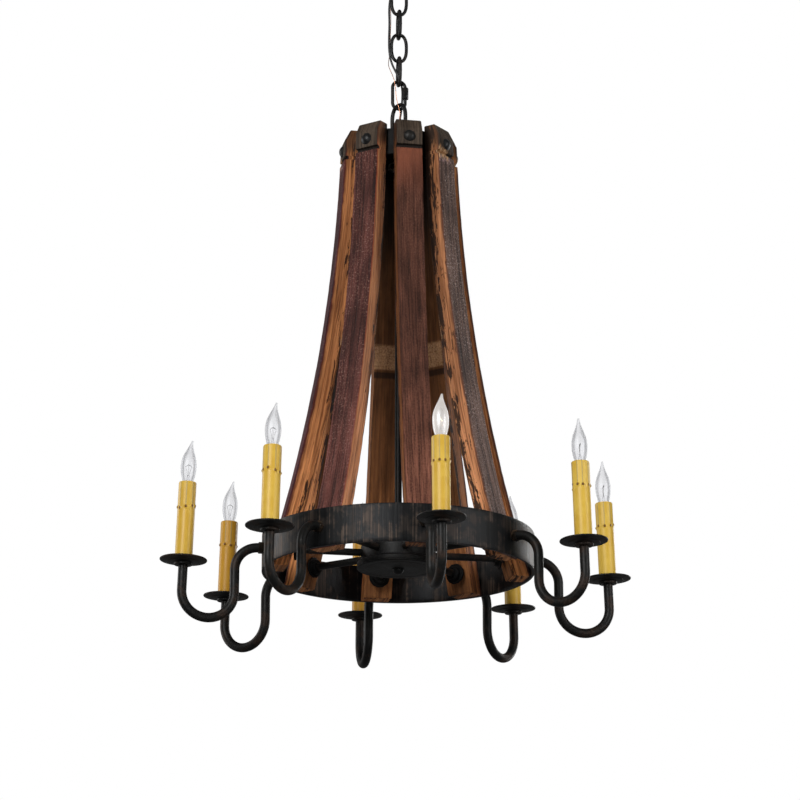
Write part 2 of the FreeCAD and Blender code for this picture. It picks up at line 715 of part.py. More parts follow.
# ---------------------------------------------------------------- arms and candles
def arm_bar(name, radius):
    """The gooseneck as a solid bar: elbow down from the collar, leg, U bend and leaning riser."""
    height = "foot + arm_height"
    low = "foot + bend_height"
    elbow = bend(name + "_elbow", "arm_elbow", radius, "90",
                 x="collar_face", z=f"{height} - arm_elbow", axis=AXIS_X, turn=90)
    leg = cylinder(name + "_leg", radius, "arm_leg", x="arm_leg_x", z=low)
    turn = bend(name + "_turn", "arm_bend", radius, "180 + candle_lean",
                x="bend_x", z=low, axis=FreeCAD.Vector(0, 1, -1), turn=180)
    riser = cylinder(name + "_riser", radius, "arm_riser", x="arm_bend")
    lifted = doc.addObject("Part::Compound", name + "_lifted")
    lifted.Links = [riser]
    return fuse(name, elbow, leg, turn, leaning(lifted))


def leaning(thing):
    """Tips a piece drawn over the U bend's centre inwards, by the candle's lean."""
    return place(thing, x="bend_x", z="foot + bend_height",
                 axis=FreeCAD.Vector(0, -1, 0), turn="candle_lean")


def make_arms():
    arm = cut("arm", arm_bar("arm_outside", "arm_tube_radius"), arm_bar("arm_inside", "arm_tube_bore"))
    each(arm, "arm")


def on_riser(thing, label, height="0"):
    """A piece turned about Z, stood on the riser's axis and repeated in one node."""
    place(thing, x="arm_bend", z=height)
    upright = doc.addObject("Part::Compound", label + "_upright")
    upright.Links = [thing]
    all_round(leaning(upright), label)


def make_candles():
    bore = "pipe_radius + fit_gap"
    pan = turned("pan", [
        (bore, "0"), ("pan_foot_radius", "0"), ("pan_foot_radius", "pan_floor - pan_sheet - 1"),
        ("pan_step_radius", "pan_floor - pan_sheet"), ("pan_step_radius + 1", "pan_floor - 0.6"),
        ("pan_radius - 2.6", "pan_rim - pan_edge"), ("pan_radius - 0.8", "pan_rim - pan_edge"),
        ("pan_radius", "pan_rim - pan_edge + 0.8"), ("pan_radius", "pan_rim - 0.8"),
        ("pan_radius - 0.8", "pan_rim"), ("pan_radius - 3.4", "pan_rim - 0.4"),
        ("pan_step_radius", "pan_floor + 0.9"), ("cover_radius + 2", "pan_floor"), (bore, "pan_floor"),
    ])
    on_riser(pan, "drip_pans", "pan_seat")
    cover = pipe("cover", "cover_radius", "cover_radius - cover_wall", "cover_length")
    on_riser(cover, "candle_covers", "cover_low")
    stem = pipe("stem", "pipe_radius", "pipe_bore", "stem_high - stem_low")
    on_riser(stem, "socket_stems", "stem_low")
    shell = cut(
        "socket", cylinder("socket_body", "socket_radius", "socket_length"),
        cylinder("socket_mouth", "socket_bore", "socket_length", z="socket_floor"),
        cylinder("socket_thread", "pipe_radius + fit_gap/2", "stem_grip/2 + fit_gap"),
    )
    on_riser(shell, "sockets", "socket_low")


def bulb_face(wall):
    """Half of the flame-shaped glass, from the neck to the tip, drawn in by wall."""
    top = number("bulb_height") - 3 * wall
    wide = number("bulb_radius") - wall
    neck = number("bulb_base_radius") + 0.6 - wall
    spots = [
        (neck, 0), (0.83 * wide, 0.19 * top), (wide, 0.42 * top), (0.80 * wide, 0.64 * top),
        (0.44 * wide, 0.80 * top), (0.18 * wide, 0.94 * top), (0.07 * wide, top),
    ]
    side = Part.BSplineCurve()
    side.interpolate([FreeCAD.Vector(radius, 0, height) for radius, height in spots])
    first, last = FreeCAD.Vector(0, 0, 0), FreeCAD.Vector(0, 0, top)
    edges = [
        side.toShape(),
        Part.makeLine(FreeCAD.Vector(spots[-1][0], 0, top), last),
        Part.makeLine(last, first),
        Part.makeLine(first, FreeCAD.Vector(neck, 0, 0)),
    ]
    return Part.Face(Part.Wire(Part.__sortEdges__(edges)))


def make_bulbs():
    """Flame-tip lamps: a hollow glass on a small screw base."""
    turn = (FreeCAD.Vector(), AXIS_Z, 360)
    wall = number("bulb_wall")
    envelope = bulb_face(0).revolve(*turn)
    hollow = bulb_face(wall).revolve(*turn)
    glass = doc.addObject("Part::Feature", "glass")
    glass.Shape = envelope.cut(hollow)
    place(glass, x="arm_bend", z="bulb_neck")
    base = fuse(
        "lamp_base",
        cylinder("lamp_shell", "bulb_base_radius", "bulb_base_length - 3", z="bulb_base_low + 3"),
        cone("lamp_tip", "2.2", "bulb_base_radius - 0.8", "3", z="bulb_base_low"),
    )
    bulb = doc.addObject("Part::Compound", "bulb_upright")
    bulb.Links = [glass, place(base, x="arm_bend")]
    each(leaning(bulb), "bulb")


# ---------------------------------------------------------------- cords
def cord(label, route, radius):
    """A cord along straight runs joined by tangent arcs, each as large as its two runs allow."""
    spots = [FreeCAD.Vector(*spot) for spot in route]
    edges, start, bends = [], spots[0], []
    for before, corner, after in zip(spots, spots[1:], spots[2:]):
        back, ahead = before - corner, after - corner
        half_turn = (math.pi - back.getAngle(ahead)) / 2
        setback = 0.45 * min(back.Length, ahead.Length)
        bends.append(setback / math.tan(half_turn))
        into = corner + back.normalize() * setback
        out = corner + ahead.normalize() * setback
        middle = (back + ahead).normalize()
        nearest = corner + middle * (bends[-1] / math.cos(half_turn) - bends[-1])
        edges += [Part.LineSegment(start, into).toShape(), Part.Arc(into, nearest, out).toShape()]
        start = out
    edges.append(Part.LineSegment(start, spots[-1]).toShape())
    path = Part.Wire(edges)
    ring = Part.Wire(Part.Circle(spots[0], spots[1] - spots[0], radius).toShape())
    tube = path.makePipeShell([ring], True, True)
    section = math.pi * radius**2 * path.Length
    print(f"{label}: length {path.Length:.1f}, tightest bend {min(bends):.1f},"
          f" volume over section x length {tube.Volume / section:.4f}")
    print("  bends", [round(size, 1) for size in bends])
    piece = doc.addObject("Part::Feature", label)
    piece.Shape = tube
    keep(piece, label)


# ---------------------------------------------------------------- the chandelier
make_canopy()
make_crossbar()
make_nipple()
make_canopy_loop()
make_chain()
make_quick_link()
make_fixture_loop()
cord("supply_cord", SUPPLY_CORD_ROUTE, SUPPLY_CORD_RADIUS)
cord("ground_wire", GROUND_WIRE_ROUTE, GROUND_WIRE_RADIUS)
make_crown()
make_crown_bolts()
make_centre_pipe()
make_hub()
make_ring()
make_wire_pipes()
make_staves()
make_arms()
make_candles()
make_bulbs()
doc.recompute()

faults = [
    f"{thing.Label}: {thing.State}"
    for thing in doc.Objects
    if {"Invalid", "Error"} & set(thing.State)
]
for node in nodes:
    if node.Shape.isNull() or not node.Shape.isValid() or not node.Shape.Solids:
        faults.append(f"{node.Label}: no valid solid")
if faults:
    raise RuntimeError("; ".join(faults))

os.makedirs("parts", exist_ok=True)
for node in nodes:
    node.Shape.exportStep(f"parts/{node.Label}.step")
print(len(nodes), "nodes")
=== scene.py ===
"""Barrel-stave candle chandelier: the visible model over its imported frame.

The frame is in metres with the origin at the ceiling. Shapes are worked out here in
millimetres and scaled as they become meshes. FOOT is the foot of the iron ring.
"""

import math

import bmesh
import bpy
import numpy as np
from mathutils import Euler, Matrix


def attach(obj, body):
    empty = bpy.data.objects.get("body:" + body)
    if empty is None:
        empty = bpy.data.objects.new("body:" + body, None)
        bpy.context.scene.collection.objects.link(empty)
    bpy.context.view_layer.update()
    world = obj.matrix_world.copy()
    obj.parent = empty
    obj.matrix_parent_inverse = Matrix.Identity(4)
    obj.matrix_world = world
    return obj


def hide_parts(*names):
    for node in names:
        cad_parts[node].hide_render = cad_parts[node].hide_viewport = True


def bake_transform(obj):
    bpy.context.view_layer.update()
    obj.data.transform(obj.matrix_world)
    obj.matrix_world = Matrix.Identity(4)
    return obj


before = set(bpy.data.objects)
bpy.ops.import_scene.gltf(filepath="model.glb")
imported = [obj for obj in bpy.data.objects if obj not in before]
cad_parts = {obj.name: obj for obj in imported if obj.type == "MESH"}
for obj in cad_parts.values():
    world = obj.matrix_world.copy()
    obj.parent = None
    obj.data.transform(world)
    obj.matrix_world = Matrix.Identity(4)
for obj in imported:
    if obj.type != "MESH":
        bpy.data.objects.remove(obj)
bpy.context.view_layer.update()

MM = 0.001
FOOT = -971.8
PLACES = 8
PIPE = FOOT + 28  # height of the pipes, their locknuts and the arms' roots
BORE = 5.3  # radius of the holes that the pipes pass through

# ------------------------------------------------------------------ camera and lights
# angles in degrees, lengths in mm
CAMERA_AXIS = 10.8
CAMERA_PITCH, CAMERA_YAW, CAMERA_ROLL = 16.43, -0.03, 0.07
CAMERA_DISTANCE = 4300
CAMERA_BELOW_FOOT = 1010.8
FOCAL_PIXELS, PICTURE_PIXELS = 3100, 800
SENSOR = 36


def set_camera():
    """A long lens below the fixture, looking up at it, as the photograph was taken."""
    lens = bpy.data.cameras.new("camera")
    lens.sensor_width = SENSOR
    lens.lens = SENSOR * FOCAL_PIXELS / PICTURE_PIXELS
    lens.clip_start, lens.clip_end = 0.05, 60
    camera = bpy.data.objects.new("camera", lens)
    bpy.context.collection.objects.link(camera)
    around = math.radians(CAMERA_AXIS)
    camera.location = (
        -CAMERA_DISTANCE * math.sin(around) * MM,
        -CAMERA_DISTANCE * math.cos(around) * MM,
        (FOOT - CAMERA_BELOW_FOOT) * MM,
    )
    facing = math.radians(CAMERA_YAW - CAMERA_AXIS)
    aim = Euler((math.radians(90 + CAMERA_PITCH), 0, facing), "XYZ")
    roll = Euler((0, 0, math.radians(CAMERA_ROLL)), "XYZ")
    camera.rotation_mode = "QUATERNION"
    camera.rotation_quaternion = aim.to_quaternion() @ roll.to_quaternion()
    bpy.context.scene.camera = camera


def softbox(name, place, target, size, power):
    """A soft rectangular light at place, facing target; all in metres."""
    light = bpy.data.lights.new(name, "AREA")
    light.shape, light.size, light.size_y = "RECTANGLE", size[0], size[1]
    light.energy = power
    lamp = bpy.data.objects.new(name, light)
    bpy.context.collection.objects.link(lamp)
    lamp.location = place
    away = np.array(place) - np.array(target)
    lamp.rotation_euler = (
        math.acos(away[2] / np.linalg.norm(away)),
        0,
        math.atan2(away[1], away[0]) + math.pi / 2,
    )


# ------------------------------------------------------------------ shader wiring
class Wire:
    """A number socket that can be used in arithmetic; each operation adds a Math node."""

    def __init__(self, paint, socket):
        self.paint, self.socket = paint, socket

    def math(self, operation, *others):
        """One Math node on this number and the others."""
        values = dict(enumerate((self, *others)))
        return self.paint.wire("ShaderNodeMath", {"operation": operation}, values)

    def __add__(self, other):
        return self.math("ADD", other)

    def __mul__(self, other):
        return self.math("MULTIPLY", other)

    def __sub__(self, other):
        return self.math("SUBTRACT", other)

    def __rsub__(self, other):
        return self * -1 + other

    __radd__, __rmul__ = __add__, __mul__

    def rise(self, low, high):
        """0 below low, 1 above high and smooth between; low may be the larger, to fall."""
        values = {"Value": self, "From Min": low, "From Max": high}
        return self.paint.wire("ShaderNodeMapRange", {"interpolation_type": "SMOOTHSTEP"}, values)


class Paint:
    """One material and the nodes that make it."""

    def __init__(self, name):
        self.material = bpy.data.materials.new(name)
        self.material.use_nodes = True
        self.tree = self.material.node_tree
        self.shader = self.tree.nodes["Principled BSDF"]

    def node(self, kind, settings, values):
        """Adds a node, sets its own settings, then its sockets from numbers or wires."""
        made = self.tree.nodes.new(kind)
        for key, setting in settings.items():
            setattr(made, key, setting)
        self.fill(made, values)
        return made

    def fill(self, node, values):
        """Sets a node's sockets from numbers or wires."""
        for key, value in values.items():
            if isinstance(value, Wire):
                self.tree.links.new(value.socket, node.inputs[key])
            else:
                node.inputs[key].default_value = value

    def wire(self, kind, settings, values, output=0):
        """Adds a node and gives the wire from one of its outputs."""
        return Wire(self, self.node(kind, settings, values).outputs[output])

    def place(self, source="Object"):
        """Object or UV coordinates."""
        return self.wire("ShaderNodeTexCoord", {}, {}, source)

    def bands(self):
        """The red, green and blue of the piece's place attribute, as three wires."""
        spot = self.wire("ShaderNodeAttribute", {"attribute_name": "place"}, {}, "Color")
        parts = self.node("ShaderNodeSeparateColor", {}, {0: spot})
        return [Wire(self, parts.outputs[band]) for band in range(3)]

    def stretched(self, vector, scale, offset=(0, 0, 0)):
        """Coordinates times scale, moved by offset."""
        values = {"Vector": vector, "Location": offset, "Scale": scale}
        return self.wire("ShaderNodeMapping", {"vector_type": "POINT"}, values)

    def noise(self, vector, scale=1.0, detail=3.0, rough=0.5, bend=0.0):
        """Noise spread over 0 to 1, because the plain one stays near a half."""
        values = {"Vector": vector, "Scale": scale, "Detail": detail, "Roughness": rough,
                  "Distortion": bend}
        return self.wire("ShaderNodeTexNoise", {}, values).rise(0.32, 0.68)

    def mixed(self, amount, first, second):
        """Colour first where amount is 0, second where it is 1."""
        first, second = [c if isinstance(c, Wire) else (*c, 1) for c in (first, second)]
        values = {0: amount, 6: first, 7: second}
        return self.wire("ShaderNodeMix", {"data_type": "RGBA"}, values, 2)

    def shaded(self, colour, amount):
        """A colour made lighter or darker by a number that is about 1."""
        grey = self.wire("ShaderNodeCombineColor", {}, dict.fromkeys(range(3), amount))
        settings = {"data_type": "RGBA", "blend_type": "MULTIPLY"}
        return self.wire("ShaderNodeMix", settings, {0: 1.0, 6: colour, 7: grey}, 2)

    def bump(self, height, depth, under=None):
        """A normal from a height field that is depth metres tall, over another one."""
        values = {"Height": height, "Distance": depth, "Strength": 1.0}
        if under:
            values["Normal"] = under
        return self.wire("ShaderNodeBump", {}, values)

    def finish(self, **sockets):
        """Feeds the shader: base_color=..., roughness=... and so on; returns the material."""
        values = {}
        for key, value in sockets.items():
            name = key.replace("_", " ").title().replace("Ior", "IOR")
            values[name] = (*value, 1) if isinstance(value, tuple) else value
        self.fill(self.shader, values)
        return self.material


def worn_iron(name, dark, brown, rough=0.42, metal=0.75, streaks=None, relief=0.00003):
    """Blackened iron rubbed back to brown in patches, with fine pits relief metres deep. Where
    streaks is given, it is the scale of brushed lines on the piece's own map."""
    paint = Paint(name)
    spot = paint.place()
    patches = paint.noise(spot, 38, 4, 0.6)
    fine = paint.noise(spot, 420, 3, 0.6)
    tint = patches.rise(0.45, 0.95) * 0.7
    if streaks:
        lines = paint.noise(paint.stretched(paint.place("UV"), streaks), 1, 5, 0.65, 0.7)
        tint = tint * 0.4 + lines.rise(0.55, 0.95) * patches.rise(0.2, 0.8) * 0.8
        fine = lines
    colour = paint.shaded(paint.mixed(tint, dark, brown), fine * 0.8 + 0.6)
    return paint.finish(
        base_color=colour, metallic=metal, roughness=fine * 0.14 + patches * 0.10 + (rough - 0.12),
        normal=paint.bump(fine, relief), specular_ior_level=0.25,
    )


def plated_steel():
    """Bright plating with a soft cloud in its tone."""
    paint = Paint("plated_steel")
    cloud = paint.noise(paint.place(), 90, 4, 0.6)
    return paint.finish(base_color=paint.mixed(cloud, (0.36, 0.36, 0.35), (0.55, 0.54, 0.50)),
                        metallic=0.9, roughness=cloud * 0.25 + 0.25)


def stave_wood(name, seed, faces, sides, inside, edge, fleck, char, rough_grain, chip):
    """Reused oak. The stave's own map runs along its grain, and its place attribute tells the
    faces apart: depth from the outer face to the inner one, height, and how far across it is.
    faces, sides and inside are (dark, light) colours; edge is the stain that wraps the outer
    corners; fleck is a speckle colour, its amount and that of a red head; char is how far the
    burnt inside reaches over the sides; rough_grain is how coarse its fibres stand; chip is
    how far across the groove pale torn wood shows."""
    paint = Paint(name)
    uv = paint.place("UV")
    depth, height, across = paint.bands()

    def grained(scale, detail, rough, bend=0.0, offset=(seed * 3.7, seed * 1.9, seed)):
        """Noise drawn out along the grain; scale is across it and along it."""
        return paint.noise(paint.stretched(uv, (*scale, 1), offset), 1, detail, rough, bend)

    fibre = grained((620, 15), 5, 0.7, 0.3)
    grain = grained((210, 6), 5, 0.62, 0.8)
    cloud = grained((42, 13), 4, 0.6)
    saw = grained((430, 330), 3, 0.7)
    mottled = across + cloud * 0.2

    # outer face: stained, fibrous and flecked, with painted light making it paler towards the foot;
    # grey above the groove
    face = paint.mixed((fibre * 0.4 + grain * 0.4 + saw * 0.2).rise(0.13, 0.87), *faces)
    # painted light: the face is lightened towards the foot
    face = paint.shaded(face, (cloud * 0.7 + 0.70) * (height.rise(0.5, 0.02) * 0.95 + 0.85))
    face = paint.mixed(saw.rise(0.78, 0.98) * cloud * fleck[1], face, fleck[0])
    reddened = height.rise(0.80, 0.93) * (cloud * 0.5 + 0.5) * fleck[2]
    face = paint.mixed(reddened, face, RED_STAIN)
    head = paint.mixed(grain * 0.6 + fibre * 0.4, *GREY_HEAD)
    head = paint.shaded(head, cloud * 0.8 + 0.6)
    lip = saw * 0.0016
    face = paint.mixed((height + lip).rise(0.9308, 0.9314), face, head)
    # painted shade: the croze groove is painted near black
    groove = (height + lip).rise(0.9285, 0.9300) * height.rise(0.9390, 0.9375)
    face = paint.mixed(groove * 0.9, face, (0.006, 0.004, 0.003))
    if chip:
        ragged = height + (fibre - 0.5) * 0.010 + (grain - 0.5) * 0.012
        torn = ragged.rise(0.921, 0.926) * ragged.rise(0.948, 0.943)
        torn = torn * mottled.rise(chip + 0.2, chip + 0.1)
        face = paint.mixed(torn * 0.95, face, paint.mixed(grain, *TORN_OAK))
        stained = ragged.rise(0.913, 0.916) * ragged.rise(0.921, 0.918) * mottled.rise(0.95, 0.8)
        face = paint.mixed(stained * 0.7, face, (0.42, 0.26, 0.25))

    # sides: honey oak with fine dark lines, the stain's edge and the burnt inside's fingers
    side = paint.mixed(grain, *sides)
    side = paint.shaded(side, fibre * 0.5 + 0.72 + cloud * 0.25)
    lines = fibre.rise(0.35, 0.05) * grain.rise(0.6, 0.2)
    side = paint.mixed(lines * 0.7, side, (0.045, 0.018, 0.008))
    # painted light: the sides are lightened towards the foot
    side = paint.shaded(side, height.rise(0.5, 0.02) * 0.45 + 0.8)
    fingers = grained((150, 10), 5, 0.7, 1.0, (seed, seed * 5.1, 2))
    blotch = grained((80, 24), 4, 0.68, 1.2, (seed * 2.3, seed, 5))
    reach = depth + (fingers - 0.5) * 0.8 + (blotch - 0.45) * 0.8 * char
    reach = reach + height.rise(0.45, 0.95) * 0.28 * char
    burnt = reach.rise(1.12 - 0.42 * char, 1.20 - 0.38 * char)
    side = paint.mixed(burnt * 0.93, side, (0.012, 0.007, 0.005))
    line = (depth + cloud * 0.10).rise(0.22, 0.10)
    side = paint.mixed(line * 0.9, side, edge)
    side = paint.mixed(height.rise(0.930, 0.965) * 0.75, side, (0.030, 0.019, 0.013))

    # inside: toasted, with a scrubbed band and the dark lines that the hoops left
    within = paint.shaded(paint.mixed(grain * 0.6 + fibre * 0.4, *inside), cloud * 0.6 + 0.7)
    # painted light: the inside is lightened towards the foot
    within = paint.shaded(within, height.rise(0.55, 0.05) * 1.2 + 0.9)
    scrubbed = height.rise(0.494, 0.500) * height.rise(0.556, 0.546) * (saw * 0.6 + cloud * 0.4)
    within = paint.mixed(scrubbed * 0.9, within, (0.66, 0.38, 0.20))
    stripe = height.rise(0.474, 0.480) * height.rise(0.493, 0.489)
    within = paint.mixed(stripe * 0.75, within, (0.008, 0.005, 0.004))
    within = paint.mixed(height.rise(0.66, 0.86) * 0.85, within, (0.008, 0.006, 0.005))

    colour = paint.mixed(depth.rise(0.015, 0.03), face, side)
    colour = paint.mixed(depth.rise(0.97, 0.985), colour, within)
    grit = fibre * 0.6 + saw * 0.4
    relief = paint.bump(grit, 0.00035 * rough_grain, paint.bump(grain, 0.0005))
    return paint.finish(
        base_color=colour, roughness=fibre * 0.25 + 0.50, normal=relief, specular_ior_level=0.12,
    )


def candle_plastic():
    """Amber sleeve, greyer down its wax runs, with painted shadow browning their beads. The place
    attribute holds
    bead, run and painted shade: how far the sleeve is darkened and made oranger as if it hung in
    shade."""
    paint = Paint("candle_plastic")
    bead, run, painted_shade = paint.bands()
    cloud = paint.noise(paint.place(), 48, 4, 0.55)
    base = paint.mixed(cloud, (0.66, 0.41, 0.050), (0.74, 0.50, 0.075))
    # painted shade: the sleeves at the back are darker and oranger
    base = paint.mixed(painted_shade, base, (0.52, 0.23, 0.012))
    base = paint.mixed(run.rise(0.35, 0.8) * 0.6, base, (0.36, 0.29, 0.13))
    # painted shadow: the beads of wax are painted brown
    base = paint.mixed(bead.rise(0.25, 0.6) * 0.9, base, (0.13, 0.045, 0.010))
    return paint.finish(base_color=base, roughness=cloud * 0.1 + 0.36, specular_ior_level=0.3)


def lamp_glass(name, rim=0.26, veil=0.035, glow=0.0):
    """Clear blown glass: see-through where it faces the eye, a soft shine towards its edge. rim
    and veil are how strongly the edge and the whole show; glow is its own light."""
    paint = Paint(name)
    facing = paint.wire("ShaderNodeLayerWeight", {}, {"Blend": 0.35}, "Fresnel")
    wave = paint.noise(paint.stretched(paint.place(), (240, 240, 30)), 1, 2, 0.5)
    paint.finish(base_color=(0.52, 0.53, 0.55), roughness=0.42, metallic=0.9,
                 emission_color=(1.0, 0.93, 0.84), emission_strength=glow)
    clear = paint.node("ShaderNodeBsdfTransparent", {}, {"Color": (0.965, 0.965, 0.97, 1)})
    blend = paint.node("ShaderNodeMixShader", {}, {0: facing * (wave * 0.4 + 0.8) * rim + veil})
    paint.tree.links.new(clear.outputs[0], blend.inputs[1])
    paint.tree.links.new(paint.shader.outputs[0], blend.inputs[2])
    paint.tree.links.new(blend.outputs[0], paint.tree.nodes["Material Output"].inputs["Surface"])
    return paint.material


def plain(name, colour, rough, metal=0.0, glow=0.0, mottle=0.25):
    """A plain finish with a soft mottle in its colour and roughness."""
    paint = Paint(name)
    cloud = paint.noise(paint.place(), 150, 3, 0.6)
    darker = tuple(c * (1 - mottle) for c in colour)
    return paint.finish(base_color=paint.mixed(cloud, darker, colour), metallic=metal,
                        roughness=cloud * 0.15 + (rough - 0.07),
                        emission_color=colour, emission_strength=glow)


# ------------------------------------------------------------------ surfaces
class Shell:
    """Points in mm, four-sided faces, their maps, an optional place colour for each point and
    any end caps."""

    def __init__(self, points, faces, maps, place, caps=()):
        self.points, self.faces, self.maps = points, faces, maps
        self.place, self.caps = place, list(caps)

    def moved(self, matrix):
        points = self.points @ matrix[:3, :3].T + matrix[:3, 3]
        return Shell(points, self.faces, self.maps, self.place, self.caps)


def grid(points, closed_rows=False, maps=None, place=None, caps=False):
    """A surface from a rows x columns array of points, whose columns close on themselves, and
    its rows too where closed_rows is set. Faces point out when columns run anticlockwise round
    the outside and rows run up it. maps has one column more, and a row more if they close."""
    rows, columns = points.shape[:2]
    number = np.arange(rows * columns).reshape(rows, columns)
    number = np.hstack([number, number[:, :1]])
    if closed_rows:
        number = np.vstack([number, number[:1]])
    corners = [(slice(None, -1), slice(None, -1)), (slice(None, -1), slice(1, None)),
               (slice(1, None), slice(1, None)), (slice(1, None), slice(None, -1))]
    faces = np.stack([number[at] for at in corners], -1).reshape(-1, 4)
    if maps is None:
        u, v = np.meshgrid(np.linspace(0, 1, number.shape[1]), np.linspace(0, 1, number.shape[0]))
        maps = np.stack([u, v], -1)
    loops = np.stack([maps[at] for at in corners], -2).reshape(-1, 4, 2)
    ends = []
    if caps:
        ends = [number[0, :columns][::-1].tolist(), number[-1, :columns].tolist()]
    tint = None if place is None else place.reshape(-1, 3)
    return Shell(points.reshape(-1, 3), faces, loops, tint, ends)


def joined(shells):
    """Several shells as one."""
    start, faces, caps = 0, [], []
    for shell in shells:
        faces.append(shell.faces + start)
        caps += [[corner + start for corner in cap] for cap in shell.caps]
        start += len(shell.points)
    place = None
    if all(shell.place is not None for shell in shells):
        place = np.vstack([shell.place for shell in shells])
    return Shell(np.vstack([s.points for s in shells]), np.vstack(faces),
                 np.vstack([s.maps for s in shells]), place, caps)


def round_steps(sides):
    """Angles of that many equal steps round a circle, from +X."""
    return np.arange(sides) / sides * 2 * np.pi


def polar(radius, angle, height):
    """Points from arrays of radius, angle and height that fit together."""
    flat = (radius * np.cos(angle), radius * np.sin(angle), height)
    return np.stack(np.broadcast_arrays(*flat), -1)


def length_along(line):
    """How far along a line of points in mm each one lies, in metres for a map."""
    steps = np.linalg.norm(np.diff(line, axis=0), axis=1)
    return np.concatenate([[0], np.cumsum(steps)]) * MM


def girth_map(radius, sides, run):
    """A map that unrolls a round surface: round it across, along it up, both in metres."""
    u, v = np.meshgrid(np.linspace(0, 2 * np.pi * radius * MM, sides + 1), run)
    return np.stack([u, v], -1)


def turn(axis, degrees):
    """A 4x4 matrix turning about x, y or z."""
    c, s = math.cos(math.radians(degrees)), math.sin(math.radians(degrees))
    first, second = {"x": (1, 2), "y": (2, 0), "z": (0, 1)}[axis]
    matrix = np.eye(4)
    matrix[first, first], matrix[first, second] = c, -s
    matrix[second, first], matrix[second, second] = s, c
    return matrix


def shift(x=0, y=0, z=0):
    """A 4x4 matrix moving by x, y and z."""
    matrix = np.eye(4)
    matrix[:3, 3] = x, y, z
    return matrix


def at_place(number):
    """Turns a piece drawn along +X to its place: 1 faces -Y, then anticlockwise from above."""
    return turn("z", -90 + 45 * (number - 1))


def all_round(shell):
    """A shell drawn along +X, once at each place."""
    return joined([shell.moved(at_place(number)) for number in range(1, PLACES + 1)])


def piece(name, shell, material, body, nodes=(), sharp=40):
    """Makes a shell a mesh object in metres, that rides on a body and stands for CAD nodes.
    A piece given no body is left unattached."""
    mesh = bpy.data.meshes.new(name)
    mesh.from_pydata((shell.points * MM).tolist(), [], shell.faces.tolist() + shell.caps)
    layer = mesh.uv_layers.new(name="map")
    flat = [shell.maps.reshape(-1, 2)]
    if shell.caps:
        flat.append(shell.points[np.concatenate(shell.caps), :2] * MM)
    layer.data.foreach_set("uv", np.vstack(flat).astype(np.float32).ravel())
    if shell.place is not None:
        colour = mesh.color_attributes.new("place", "FLOAT_COLOR", "POINT")
        full = np.hstack([shell.place, np.ones((len(shell.place), 1))])
        colour.data.foreach_set("color", full.astype(np.float32).ravel())
    merge_poles(mesh)
    mesh.shade_smooth()
    mesh.set_sharp_from_angle(angle=math.radians(sharp))
    mesh.materials.append(material)
    thing = bpy.data.objects.new(name, mesh)
    bpy.context.collection.objects.link(thing)
    if body:
        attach(thing, body)
    if nodes:
        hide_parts(*nodes)
    return thing


def merge_poles(mesh):
    """Merges the points that meet at poles."""
    work = bmesh.new()
    work.from_mesh(mesh)
    bmesh.ops.remove_doubles(work, verts=work.verts, dist=1e-7)
    bmesh.ops.dissolve_degenerate(work, edges=work.edges, dist=1e-8)
    work.to_mesh(mesh)
    work.free()


def rounded(corners, radius, steps=4):
    """A profile with each corner between its ends cut back by radius and bridged by a parabola."""
    corners = np.array(corners, float)
    out = [corners[:1]]
    for before, corner, after in zip(corners, corners[1:], corners[2:]):
        back, ahead = before - corner, after - corner
        reach = min(radius, 0.45 * np.linalg.norm(back), 0.45 * np.linalg.norm(ahead))
        first = corner + back / np.linalg.norm(back) * reach
        last = corner + ahead / np.linalg.norm(ahead) * reach
        t = np.linspace(0, 1, steps + 1)[:, None]
        out.append((1 - t) ** 2 * first + 2 * t * (1 - t) * corner + t**2 * last)
    out.append(corners[-1:])
    return np.vstack(out)


def lathe(profile, sides=96, shape=None):
    """Profile (radius, height) turned about Z, anticlockwise in radius and height; shape scales
    the radius by an array over the columns."""
    profile = np.array(profile, float)
    radius, height = profile.T
    scale = np.ones(sides) if shape is None else shape
    points = polar(radius[:, None] * scale, round_steps(sides), height[:, None])
    return grid(points, maps=girth_map(radius.max(), sides, length_along(profile)))


def ringed(profile, sides=96):
    """A lathe shape whose profile closes on itself, such as a ring."""
    profile = np.array(profile, float)
    if np.abs(profile[0] - profile[-1]).max() > 1e-6:
        profile = np.vstack([profile, profile[:1]])
    return lathe(profile, sides)


def tube(path, radius, normal, sides=20, closed=False):
    """A round section carried along a path, capped where it is open. Its frame at each point is
    the tangent, the tangent crossed with normal, and the cross of those two."""
    path = np.array(path, float)
    if closed:
        ahead = np.roll(path, -1, 0) - np.roll(path, 1, 0)
    else:
        ahead = np.gradient(path, axis=0)
    ahead /= np.linalg.norm(ahead, axis=1)[:, None]
    side = np.cross(ahead, np.array(normal, float))
    side /= np.linalg.norm(side, axis=1)[:, None]
    up = np.cross(side, ahead)
    angle = round_steps(sides)
    reach = np.broadcast_to(np.asarray(radius, float), (len(path),))[:, None, None]
    ring = side[:, None] * np.cos(angle)[:, None] - up[:, None] * np.sin(angle)[:, None]
    points = path[:, None] + ring * reach
    run = length_along(np.vstack([path, path[:1]]) if closed else path)
    maps = girth_map(reach.max(), sides, run)
    return grid(points, closed_rows=closed, maps=maps, caps=not closed)


def arc(centre, radius, first, last, steps):
    """Points of an arc in the XZ plane, angles in degrees from +X towards +Z."""
    angle = np.radians(np.linspace(first, last, steps))
    return np.stack([centre[0] + radius * np.cos(angle), 0 * angle,
                     centre[1] + radius * np.sin(angle)], -1)


def upright(x, heights):
    """Points of an upright line in the XZ plane."""
    return np.stack([np.full(len(heights), x), np.zeros(len(heights)), heights], -1)


def wander(seed, at, spacing, size):
    """Smooth random values along an array: cubic steps between seeded numbers."""
    dice = np.random.RandomState(seed)
    knots = dice.uniform(-1, 1, int((at.max() - at.min()) / spacing) + 4)
    where = (at - at.min()) / spacing
    low = where.astype(int)
    part = where - low
    part = part * part * (3 - 2 * part)
    return size * (knots[low] * (1 - part) + knots[low + 1] * part)


